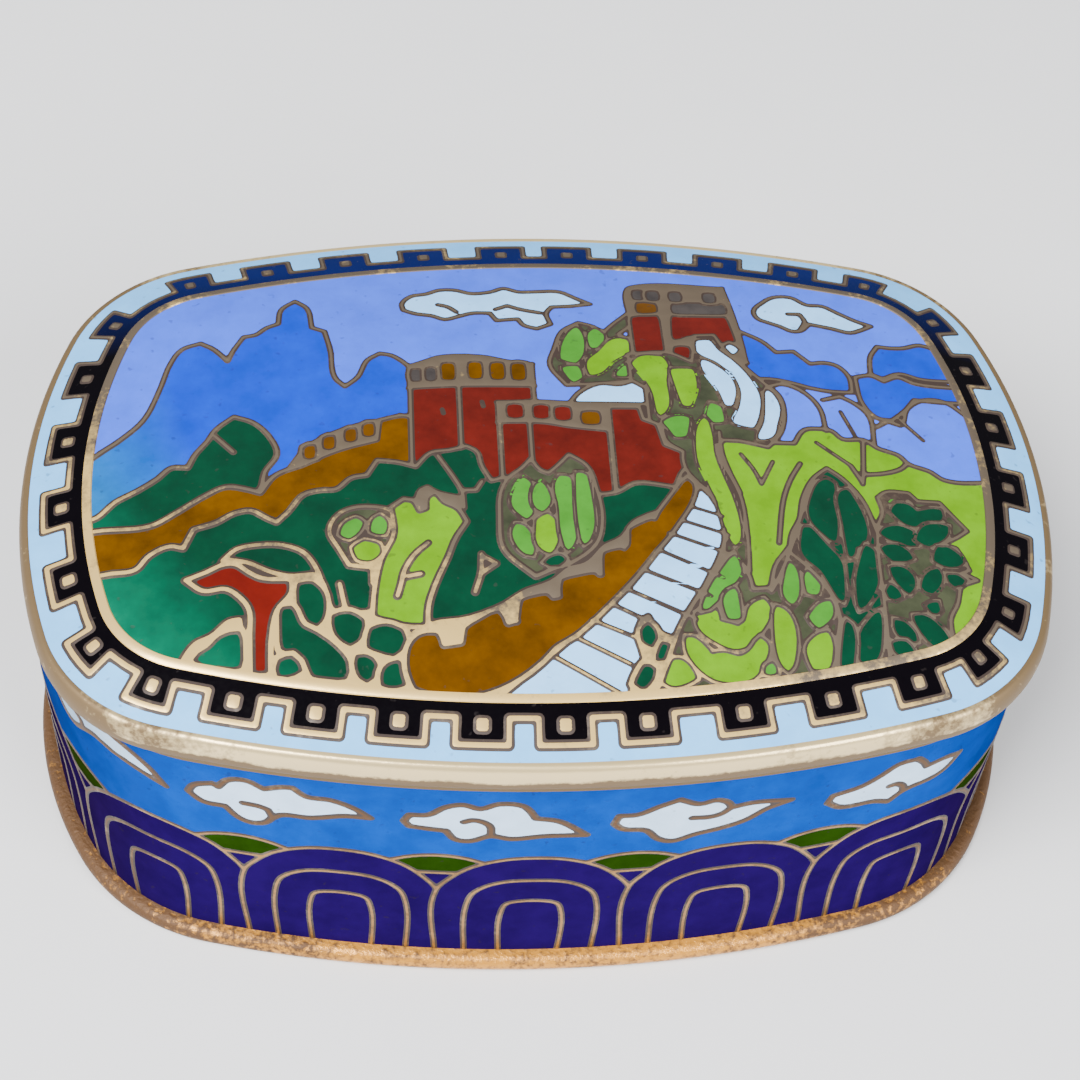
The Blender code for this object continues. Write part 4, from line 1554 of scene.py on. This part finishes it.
def picture_strokes():
    """Wires that don't bound a colour: folds of clouds, ridges, leaf veins, joints of towers and steps."""
    clouds = [
        stroke([(-7.8, 17), (-7, 16.7), (-6.3, 16)]),
        stroke([(-3, 16.3), (-2, 16.8), (-1, 16.3), (0.7, 15.8)]),
        stroke([(21.7, 16), (22.7, 16), (23, 15), (22.5, 14)]),
    ]
    ridges = [
        stroke([(19, 7), (20, 7.3), (21.7, 6.5), (22.8, 4.8), (23, 2.3)]),
        stroke([(23.2, 5.7), (24.7, 6.2), (25.8, 5.5), (26.8, 4.2), (26.8, 1)]),
        stroke([(24.5, 4.5), (25.3, 2)], thin=0.8),
        stroke([(29.7, 3.8), (30.2, 5.2), (31.7, 6.3), (33.5, 6.3), (35.2, 4.8)]),
        stroke([(29.3, 4), (31, 1.8)], thin=0.8),
        stroke([(27.3, 3), (28.3, 3.7), (29.3, 3.3)]),
        stroke([(-25.7, 2.3), (-24.2, 0.5)]),
    ]
    masonry = [
        stroke([(-6.4, 10.2), (-6.4, 0)]),
        stroke([(-0.9, 5), (-0.9, -1.5)]),
        stroke([(-7.8, 4.2), (-7.7, 3.7)], thin=0.8),
        stroke([(-4.6, 5), (-4.5, 4.4)], thin=0.8),
    ]
    rungs = (
        ((11.2, -6), (13.6, -6.9)),
        ((10.3, -7.3), (13.9, -8.7)),
        ((9.2, -8.5), (13.9, -10.5)),
        ((8.2, -10), (13.1, -12.6)),
        ((7.1, -11.9), (12, -14.2)),
        ((5.7, -13.6), (10.7, -16.2)),
        ((4.3, -14.8), (6.8, -16.2)),
        ((2.8, -16.2), (6.2, -17.8)),
        ((1.8, -17.8), (5.5, -19.9)),
        ((0, -19.3), (4.5, -22.2)),
    )
    steps = [stroke(rung, thin=RUNG_WIRE) for rung in rungs]
    woodland = [
        stroke([(-8.3, -0.7), (-7, -3.2), (-6.5, -4.4), (-6.4, -6)]),
        stroke([(-6.5, -4.3), (-5.4, -4.3), (-4.9, -3.4)]),
        stroke([(-9.2, -9.2), (-10.3, -10.3), (-11.1, -11.8), (-11.3, -12.8), (-11.6, -13.9)]),
        stroke([(-9.8, -12), (-10.8, -12.2)]),
        stroke([(-5.2, -10.3), (-5.3, -12), (-5.8, -13.7)]),
        stroke([(-5.2, -10.5), (-4.1, -11.2), (-5.2, -12)]),
        stroke([
            (-24.7, -10.2), (-23.7, -9.2), (-22.4, -8.9), (-20.3, -9), (-18.6, -9.8), (-17.6, -11.4),
            (-17.2, -12.6),
        ]),
        stroke([(-24.4, -10.1), (-22.8, -10.5), (-21.2, -11.4), (-19.6, -11.9), (-17.9, -11.8)]),
        stroke([(-15.9, -12.7), (-15.5, -14.8)]),
    ]
    hillside = [
        stroke([(15.7, -0.5), (16.6, -2.2), (17, -3.6), (18.2, -1.2)], thin=0.8),
        stroke([(20.4, -1.3), (19.4, -3), (18.6, -5), (17.7, -9.4)]),
        stroke([(21.2, -3.2), (20, -6), (18.6, -9.8), (17.2, -12.8), (16.6, -13.8)]),
        stroke([(14.2, 1.8), (14.2, -0.5), (14.6, -2.5), (15.2, -4.5)]),
        stroke([(22, 1), (24.5, -1.3)], thin=0.8),
        stroke([(25.9, 1.3), (25.4, -2.2), (25.2, -3.2)]),
        stroke([(25.4, -2.2), (27, -2), (28.6, -1.4), (29.2, -0.8)]),
        stroke([(24.5, -1.3), (25.2, -3)]),
    ]
    return clouds + ridges + masonry + steps + woodland + hillside


def picture():
    """All cells of the picture, from the farthest to the nearest, and its wires."""
    cells = (
        sky_and_mountains()
        + clouds_above()
        + ridges_right()
        + wall_left()
        + towers()
        + bush_and_cloud()
        + upper_tower()
        + woods()
        + red_tree()
        + stairs_and_wall()
        + lime_hills()
        + shrubs()
        + big_leaves()
    )
    return Drawing(cells, picture_strokes())


# How far the sheet's grid reaches past the picture's edge, in millimetres.
PICTURE_MARGIN = 1.0


class OBJECT_OT_cloisonne_picture(bpy.types.Operator):
    """Lay the enamel picture and its wires on the lid."""

    bl_idname = "object.cloisonne_picture"
    bl_label = "Lid picture"

    def execute(self, context):
        drawing = picture()
        in_from_rim = PANEL_INSET - PICTURE_MARGIN
        reach = (LID_PLAN.half_length - in_from_rim, LID_PLAN.half_width - in_from_rim)
        low = (-reach[0], -reach[1])
        corners, shown, wires = enamel_sheet(drawing, grid_points(low, reach, PICTURE_STEP))
        coat = add_enamel("picture_enamel", corners, shown, drawing.cells, lay_on_lid, picture_materials())
        declare(coat, "enamel_picture", "lid_picture_enamel")
        top, edge = lid_wire_materials("picture", near=0.15, far=1.1, start=-21.0, end=-8.0)
        network = add_wires("picture_wires", wires, low, reach, lay_on_lid, top, edge)
        declare(network, "brass")
        return {"FINISHED"}


# The lid's border

# Runs of merlons along the lid's outline, from the front's middle: the first, the last and how many.
MERLON_RUNS = (
    (-115.0, -87.3, 5),
    (-76.8, -54.7, 4),
    (-47.0, -31.2, 3),
    (-24.5, 6.7, 6),
    (14.1, 28.2, 3),
    (35.2, 77.0, 7),
    (86.5, 113.5, 5),
)
# Sizes of the battlements, as insets from the outline, and of the dots in them.
MERLON_HALF_WIDTH = 2.0
MERLON_TOP = 2.05
SLOT_BOTTOM = 4.0
DOT_INSET = 3.5
DOT_HALF = 0.28
# Insets of the rings of points that let the border follow its curve.
BORDER_RINGS = (1.4, 3.0, 4.8)
# Section of the wire round the picture, from its CAD top and from the other wires' tops.
PANEL_WIRE_DEPTH = 0.5
PANEL_WIRE_CHAMFER = 0.12
PANEL_WIRE_SHOULDER = -0.1
PANEL_WIRE_OUTER_CREST = -0.03
PANEL_WIRE_INNER_CREST = 0.08


def merlons():
    """Middles of the merlons, along the lid's outline."""
    return [
        start + (end - start) * i / (count - 1)
        for start, end, count in MERLON_RUNS
        for i in range(count)
    ]


def border():
    """Light-blue ring, black battlements with a wire over them, and a dot in each merlon."""
    arcs = track(LID_PLAN)
    length = track_length(arcs)

    def at(around, inset):
        return on_track(arcs, around % length, -inset)

    corners = []
    for middle in merlons():
        left, right = middle - MERLON_HALF_WIDTH, middle + MERLON_HALF_WIDTH
        corners += [(left, SLOT_BOTTOM), (left, MERLON_TOP), (right, MERLON_TOP), (right, SLOT_BOTTOM)]
    line = []
    for (around, inset), (next_around, next_inset) in zip(corners, corners[1:] + corners[:1]):
        run = (next_around - around) % length if next_inset == inset else 0.0
        pieces = max(1, round(math.hypot(run, next_inset - inset) / PATH_STEP))
        for i in range(pieces):
            share = i / pieces
            line.append(at(around + run * share, inset + (next_inset - inset) * share))
    cells = [
        Cell("border_blue", ring(LID_PLAN, BORDER_INSET), 0.0),
        Cell("black", line, 1.0),
        Cell(HOLE, ring(LID_PLAN, PANEL_INSET), 0.0),
    ]
    dots = [
        ([at(middle - DOT_HALF, inset), at(middle + DOT_HALF, inset)], 1.0)
        for middle in merlons()
        for inset in (DOT_INSET - DOT_HALF, DOT_INSET, DOT_INSET + DOT_HALF)
    ]
    return Drawing(cells, dots)


def panel_wire_profile():
    """Section of the wire round the picture, which leans up towards the picture, as (inset, height)."""
    half = sizes().panel_wire / MM / 2
    outer, inner = PANEL_INSET - half, PANEL_INSET + half
    height = top_of("lid_panel_wire")
    crest = height + sizes().wire_proud / MM
    return [
        (outer, height - PANEL_WIRE_DEPTH),
        (outer, height + PANEL_WIRE_SHOULDER),
        (outer + PANEL_WIRE_CHAMFER, crest + PANEL_WIRE_OUTER_CREST),
        (inner - PANEL_WIRE_CHAMFER, crest + PANEL_WIRE_INNER_CREST),
        (inner, height),
        (inner, height - PANEL_WIRE_DEPTH),
    ]


class OBJECT_OT_cloisonne_border(bpy.types.Operator):
    """Lay the battlement border and its wires round the picture."""

    bl_idname = "object.cloisonne_border"
    bl_label = "Lid border"

    def execute(self, context):
        drawing = border()
        loose = [point for inset in BORDER_RINGS for point in ring(LID_PLAN, inset, BORDER_STEP)]
        corners, shown, wires = enamel_sheet(drawing, loose)
        coat = add_enamel("border_enamel", corners, shown, drawing.cells, lay_on_lid, border_materials())
        declare(coat, "enamel_border", "lid_border_enamel")
        top, edge = lid_wire_materials("border", near=0.1, far=0.9, start=-24.0, end=-2.0)
        reach = (LID_PLAN.half_length, LID_PLAN.half_width)
        low = (-reach[0], -reach[1])
        network = add_wires("border_wires", wires, low, reach, lay_on_lid, top, edge)
        declare(network, "brass")
        panel = swept_ring("panel_wire", LID_PLAN, panel_wire_profile(), top)
        declare(panel, "brass", "lid_panel_wire")
        return {"FINISHED"}


# The base

ARCH_COUNT = 15
ARCH_OFFSET = -1.1
# Outlines from the middle of an arch, or of the joint between two: the way round and the height.
ARCH_SPRING = 11.2
OUTER_RISE = ((-6.6, 13), (-5, 14.7), (-2.5, 15.9), (0, 16.2))
MIDDLE_RISE = ((-5.2, 9), (-4.6, 11), (-2.8, 12.4), (0, 12.8))
INNER_RISE = ((-2.4, 8), (-2, 9.2), (-1, 9.6))
LENS = ((-4, 15.2), (-2, 16.1), (0, 16.4), (2, 16.1), (4, 15.2), (0, 10))
WEDGE = ((-2.1, 13.8), (2.1, 13.8), (0, 10))
# How far the drawing, and the arches' feet below it, run past the wall's edges.
WALL_LAP = 0.3
ARCH_LAP = 1.0
CLOUD_COUNT = 14
CLOUD_OFFSET = -4.5
CLOUD_WIRE = 1.3
KIND_IN_FRONT = 2
# Five kinds of cloud and the swirl in each, from its own middle: the way round and the height.
CLOUDS = (
    (
        (-6.2, 22.6), (-5.2, 23.8), (-3.8, 24.3), (-2.4, 25.2), (-0.6, 25.6), (1.2, 25.3), (2.6, 25.1),
        (4.4, 24.5), (6.2, 23.3), (7.6, 21.3), (6.2, 21.9), (4.6, 22.4), (2.8, 22.7), (1, 23), (-0.4, 22.4),
        (-1.8, 21.6), (-3.2, 21.7), (-4.4, 22.4),
    ),
    (
        (-6.9, 21.5), (-6.4, 22.5), (-4.9, 23.2), (-4.5, 22.8), (-3.7, 24), (-2.3, 24.3), (-1, 23.5),
        (0.4, 24.1), (1.2, 24.2), (2.2, 23.2), (4, 23.1), (5.7, 22.3), (7, 21.1), (5.1, 21.1), (2.4, 20.3),
        (0.2, 20.2), (-0.5, 19.6), (-1.1, 18.8), (-2.2, 18.5), (-3.2, 19), (-4.1, 20.3), (-5.8, 20.4),
    ),
    (
        (-6.8, 21.1), (-6.4, 22), (-5, 22.1), (-3.7, 23.3), (-2.4, 23.7), (-1.1, 23.2), (0.2, 23.9),
        (2, 23.7), (2.6, 23), (3.1, 21.9), (4.8, 21.5), (7.1, 19.4), (3.9, 19.4), (1.3, 19), (-0.2, 19.4),
        (-1.8, 18.6), (-2.9, 18.8), (-3.6, 20), (-5.2, 20.2), (-6.4, 20.4),
    ),
    (
        (-7.2, 20.8), (-6.9, 21.9), (-5.5, 21.9), (-4, 22.8), (-2.4, 23.6), (-0.8, 22.7), (0.5, 23),
        (1.4, 22.5), (1.8, 21.7), (3.3, 22), (6.5, 21.6), (4.7, 20.9), (3.1, 19.6), (1, 18.8), (-0.7, 18.4),
        (-2.5, 17.7), (-3.6, 18.2), (-4.7, 19.6), (-6.5, 20),
    ),
    (
        (-6.7, 20.2), (-6.4, 21.1), (-4.1, 21.7), (-2.8, 22.6), (-1.4, 23.8), (0.1, 23.9), (0.8, 23.1),
        (1.2, 22.3), (2.8, 22.4), (4.5, 21.9), (3.4, 20.6), (2.2, 20.1), (0.4, 19.9), (-0.5, 19.5),
        (-1.4, 18.5), (-2.6, 19), (-5.5, 19.2),
    ),
)
CLOUD_SWIRLS = (
    ((-2.4, 23.4), (-1.4, 23.8), (-0.5, 23.3), (-0.4, 22.5)),
    ((-2.7, 21.1), (-1.5, 21), (-0.8, 20.7), (-0.5, 19.7)),
    ((-2.3, 21.3), (-1.7, 21.6), (-0.9, 21.4), (-0.3, 20.8), (-0.2, 19.5)),
    ((-1.2, 20.8), (0.3, 20.7), (1.1, 21), (1.7, 21.7)),
    ((-1.7, 20.8), (-1.1, 20.9), (-0.5, 20.4), (-0.4, 19.6)),
)


def arch(rise, foot):
    """An arch from the left of its foot over its crown, mirrored down to the right."""
    left = [(rise[0][0], foot), *rise]
    return left + [(-x, y) for x, y in reversed(left) if x]


def wall_drawing(length, low, high):
    """Clouds on blue over a row of nested navy arches, once round the base."""
    edge = length / 2
    sheet = [(-edge, low), (edge, low), (edge, high), (-edge, high)]
    cells = [Cell("body_blue", path(sheet, step=WALL_EDGE_STEP), 0.0)]
    strokes = []
    pitch = length / ARCH_COUNT
    rounds = range(-ARCH_COUNT // 2 - 1, ARCH_COUNT // 2 + 2)
    for i in rounds:
        joint = ARCH_OFFSET + pitch * (i + 0.5)
        cells.append(cell("olive", moved(LENS, joint)))
        cells.append(cell("navy", moved(WEDGE, joint)))
    for i in rounds:
        for rise in (((-pitch / 2, ARCH_SPRING), *OUTER_RISE), MIDDLE_RISE, INNER_RISE):
            cells.append(cell("navy", moved(arch(rise, low - ARCH_LAP), ARCH_OFFSET + pitch * i)))
    apart = length / CLOUD_COUNT
    for i in range(-CLOUD_COUNT // 2 - 1, CLOUD_COUNT // 2 + 2):
        middle = CLOUD_OFFSET + apart * i
        kind = (i + KIND_IN_FRONT) % CLOUD_COUNT % len(CLOUDS)
        cells.append(cell("body_white", moved(CLOUDS[kind], middle), wire=CLOUD_WIRE))
        strokes.append(stroke(moved(CLOUD_SWIRLS[kind], middle), thin=CLOUD_WIRE))
    return Drawing(cells, strokes)


class OBJECT_OT_cloisonne_wall(bpy.types.Operator):
    """Lay the enamel and the wires on the outside of the base."""

    bl_idname = "object.cloisonne_wall"
    bl_label = "Base wall"

    def execute(self, context):
        length = track_length(track(BASE_PLAN, WALL_INSET))
        low, high = bottom_of("base_wall_enamel") - WALL_LAP, top_of("base_wall_enamel") + WALL_LAP
        drawing = wall_drawing(length, low, high)
        loose = grid_points((-length / 2, low), (length / 2, high), WALL_STEP)
        corners, shown, wires = enamel_sheet(drawing, loose)
        coat = add_enamel("wall_enamel", corners, shown, drawing.cells, lay_on_wall, wall_materials())
        declare(coat, "enamel_wall", "base_wall_enamel")
        # Browner above, where the clouds are, and painted shade towards both ends.
        browner_and_shaded = [WALL_BROWN_ABOVE, WALL_WIRES_SHADED_ENDS]
        top, edge = wire_materials("wall", colours().wall_wire, colours().tarnish_and_shade, browner_and_shaded)
        edge_of_grid = length / 2 + GRID_STEP
        corner, far_corner = (-edge_of_grid, low), (edge_of_grid, high)
        network = add_wires("wall_wires", wires, corner, far_corner, lay_on_wall, top, edge, even)
        declare(network, "brass")
        return {"FINISHED"}


# Sections of the brass rings, in millimetres: how far they bulge and lap under what they hold.
INSIDE_BOX = 0.02
BAND_BULGE = 0.6
BAND_LAP = 0.25
FOOT_BULGE = 0.8
FOOT_LAP = 0.2
FOOT_RISE = 0.1
MOUTH_REACH = 2.2
MOUTH_GAP = 0.1
MOUTH_RISE = 0.2
MOUTH_CHAMFER = 0.2
MOUTH_SETBACK = 0.1
MOUTH_BULGE = 0.05


def half_round(inset, bottom, top, bulge, steps=10):
    """Points of a rounded outer side from its bottom to its top, as (inset, height)."""
    middle, half = (bottom + top) / 2, (top - bottom) / 2
    turns = [math.pi * step / steps for step in range(steps + 1)]
    return [(inset + bulge * (1 - math.sin(turn)), middle - half * math.cos(turn)) for turn in turns]


class OBJECT_OT_cloisonne_brass(bpy.types.Operator):
    """Make the brass band of the lid, the foot ring and the mouth rim."""

    bl_idname = "object.cloisonne_brass"
    bl_label = "Brass rings"

    def execute(self, context):
        tint = colours()
        # The band's brass paints a highlight on its upper half at the front, and shade low down and towards
        # both ends; the mouth rim shares it.
        middle = (bottom_of("lid_rim") + top_of("lid_rim")) / 2
        below = Fade(near=1.3, far=0.1, along=(0.0, 0.0, 1.0), start=middle - 0.5, end=middle + 0.3)
        shaded_band_ends = Ends(near=0.1, far=1.0, start=20.0, end=38.0)
        bright = worn_metal(
            "brass_band_painted_light", tint.band, tint.band_shade, [below, shaded_band_ends], relief=0.06, metallic=0.6
        )
        brown_ends = Ends(near=0.4, far=1.05, start=14.0, end=38.0)
        rough = worn_metal(
            "brass_foot", tint.brass, tint.tarnish_and_shade, [brown_ends], relief=0.25, metallic=0.3, grain=0.75
        )

        band = half_round(INSIDE_BOX, bottom_of("lid_rim"), top_of("lid_rim"), BAND_BULGE)
        inner = BORDER_INSET + BAND_LAP
        profile = [(inner, band[0][1])] + band + [(inner, band[-1][1] - INSIDE_BOX)]
        lid_band = swept_ring("lid_band", LID_PLAN, profile, bright)
        declare(lid_band, "brass", "lid_rim")

        foot = half_round(INSIDE_BOX, 0.0, top_of("base_foot_ring") + FOOT_RISE, FOOT_BULGE)
        inner = WALL_DEPTH - FOOT_LAP
        profile = [(inner, 0.0)] + foot + [(inner, foot[-1][1])]
        foot_ring = swept_ring("foot_ring", BASE_PLAN, profile, rough)
        declare(foot_ring, "brass", "base_foot_ring")

        bottom, top = top_of("base_wall_enamel") + MOUTH_GAP, top_of("base_mouth_rim") + MOUTH_RISE
        profile = [
            (WALL_INSET + MOUTH_REACH, bottom),
            (WALL_INSET + MOUTH_SETBACK, bottom),
            (WALL_INSET - MOUTH_BULGE, bottom + MOUTH_CHAMFER),
            (WALL_INSET + MOUTH_SETBACK, top),
            (WALL_INSET + MOUTH_REACH, top),
        ]
        mouth = swept_ring("mouth_rim", BASE_PLAN, profile, bright)
        declare(mouth, "brass", "base_mouth_rim")
        return {"FINISHED"}


class OBJECT_OT_cloisonne_inside(bpy.types.Operator):
    """Finish the CAD pieces that stay: the cup, the lid's dome, the collar and the coat underneath."""

    bl_idname = "object.cloisonne_inside"
    bl_label = "Inside and underneath"

    def execute(self, context):
        tint = colours()
        plain = {"base_shell": "base", "lid_shell": "lid", "base_under_enamel": "under"}
        finishes = {
            node: enamel("counter_" + side, tint.counter, cloudiness=0.6) for node, side in plain.items()
        }
        finishes["base_collar"] = worn_metal("brass_collar", tint.brass, tint.tarnish_and_shade, tarnish_and_shade=0.5)
        for name, material in finishes.items():
            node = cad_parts[name]
            node.data.materials.clear()
            node.data.materials.append(material)
        return {"FINISHED"}


# Camera, light and floor

CAMERA_AZIMUTH = math.radians(-6.681)
CAMERA_ELEVATION = math.radians(52.723)
CAMERA_ROLL = math.radians(-4.628)
CAMERA_PAN = math.radians(-0.121)
CAMERA_TILT = math.radians(1.834)
CAMERA_DISTANCE = 0.18946
CAMERA_AIM = Vector((0.0, 0.0, 0.0123))
CAMERA_LENS = 73.33
CAMERA_SENSOR = 36.0
LAMP_AIM = Vector((0.0, 0.0, 0.02))
LAMP_SIZE = 0.4
LAMPS = (
    ("key", (-0.35, -0.30, 0.62), 16.0),
    ("fill", (0.40, -0.45, 0.45), 8.0),
)
STUDIO_COLOUR = (0.90, 0.95, 1.0, 1.0)
STUDIO_STRENGTH = 0.3
FLOOR_SIZE = 4.0
FLOOR_TONES = ((0.70, 0.70, 0.71), (0.73, 0.73, 0.74))
FLOOR_ROUGHNESS = 0.8


def add_camera():
    """A camera at the photograph's viewing angle."""
    level = math.cos(CAMERA_ELEVATION)
    back = Vector(
        (
            math.sin(CAMERA_AZIMUTH) * level,
            -math.cos(CAMERA_AZIMUTH) * level,
            math.sin(CAMERA_ELEVATION),
        )
    )
    forward = -back
    right = forward.cross(Vector((0, 0, 1))).normalized()
    up = right.cross(forward)
    for axis, angle in (("up", CAMERA_PAN), ("right", CAMERA_TILT), ("forward", CAMERA_ROLL)):
        turn = Matrix.Rotation(angle, 3, {"up": up, "right": right, "forward": forward}[axis])
        forward, right, up = turn @ forward, turn @ right, turn @ up
    data = bpy.data.cameras.new("camera")
    data.lens = CAMERA_LENS
    data.sensor_width = CAMERA_SENSOR
    data.clip_start = 0.01
    camera = bpy.data.objects.new("camera", data)
    camera.matrix_world = Matrix((right, up, -forward)).transposed().to_4x4()
    camera.location = CAMERA_AIM + back * CAMERA_DISTANCE
    bpy.context.scene.collection.objects.link(camera)
    bpy.context.scene.camera = camera


def add_lamp(name, place, power):
    """A soft square lamp that faces the box."""
    bpy.ops.object.light_add(type="AREA", location=place)
    lamp = bpy.context.object
    lamp.name = name
    lamp.data.size = LAMP_SIZE
    lamp.data.energy = power
    lamp.rotation_euler = (LAMP_AIM - Vector(place)).to_track_quat("-Z", "Y").to_euler()


class OBJECT_OT_cloisonne_stage(bpy.types.Operator):
    """Add the floor, the lights and the camera."""

    bl_idname = "object.cloisonne_stage"
    bl_label = "Stage"

    def execute(self, context):
        bpy.ops.object.select_all(action="DESELECT")
        bpy.ops.mesh.primitive_plane_add(size=FLOOR_SIZE, location=(0, 0, 0))
        floor = context.object
        floor.name = "floor"
        material, tree, shader, place = new_material("floor")
        grain = ranged(tree, noise(tree, place, scale=60.0), low=0.0, high=1.0)
        tree.links.new(mixed(tree, grain, *FLOOR_TONES), shader.inputs["Base Color"])
        shader.inputs["Roughness"].default_value = FLOOR_ROUGHNESS
        floor.data.materials.append(material)
        for lamp in LAMPS:
            add_lamp(*lamp)
        world = bpy.data.worlds.new("studio")
        world.use_nodes = True
        background = world.node_tree.nodes["Background"]
        background.inputs["Color"].default_value = STUDIO_COLOUR
        background.inputs["Strength"].default_value = STUDIO_STRENGTH
        context.scene.world = world
        add_camera()
        return {"FINISHED"}


class VIEW3D_PT_cloisonne(bpy.types.Panel):
    """Sidebar panel with the box's pieces, sizes and colours."""

    bl_label = "Cloisonne enamel box"
    bl_idname = "VIEW3D_PT_cloisonne"
    bl_space_type = "VIEW_3D"
    bl_region_type = "UI"
    bl_category = "Enamel box"

    def draw(self, context):
        for operator in OPERATORS:
            self.layout.operator(operator.bl_idname)
        for group in (context.scene.cloisonne_sizes, context.scene.cloisonne_colours):
            for name in group.__annotations__:
                self.layout.prop(group, name)


OPERATORS = (
    OBJECT_OT_cloisonne_brass,
    OBJECT_OT_cloisonne_inside,
    OBJECT_OT_cloisonne_border,
    OBJECT_OT_cloisonne_picture,
    OBJECT_OT_cloisonne_wall,
    OBJECT_OT_cloisonne_stage,
)
CLASSES = (BoxSizes, BoxColours, *OPERATORS, VIEW3D_PT_cloisonne)


def register():
    """Registers the classes and the settings of the scene."""
    for one in CLASSES:
        bpy.utils.register_class(one)
    bpy.types.Scene.cloisonne_sizes = bpy.props.PointerProperty(type=BoxSizes)
    bpy.types.Scene.cloisonne_colours = bpy.props.PointerProperty(type=BoxColours)


def unregister():
    """Takes the settings and the classes away again."""
    del bpy.types.Scene.cloisonne_colours
    del bpy.types.Scene.cloisonne_sizes
    for one in reversed(CLASSES):
        bpy.utils.unregister_class(one)


def main():
    """Builds the box and its stage."""
    register()
    bpy.ops.object.cloisonne_brass()
    bpy.ops.object.cloisonne_inside()
    bpy.ops.object.cloisonne_border()
    bpy.ops.object.cloisonne_picture()
    bpy.ops.object.cloisonne_wall()
    bpy.ops.object.cloisonne_stage()


if __name__ == "__main__":
    main()
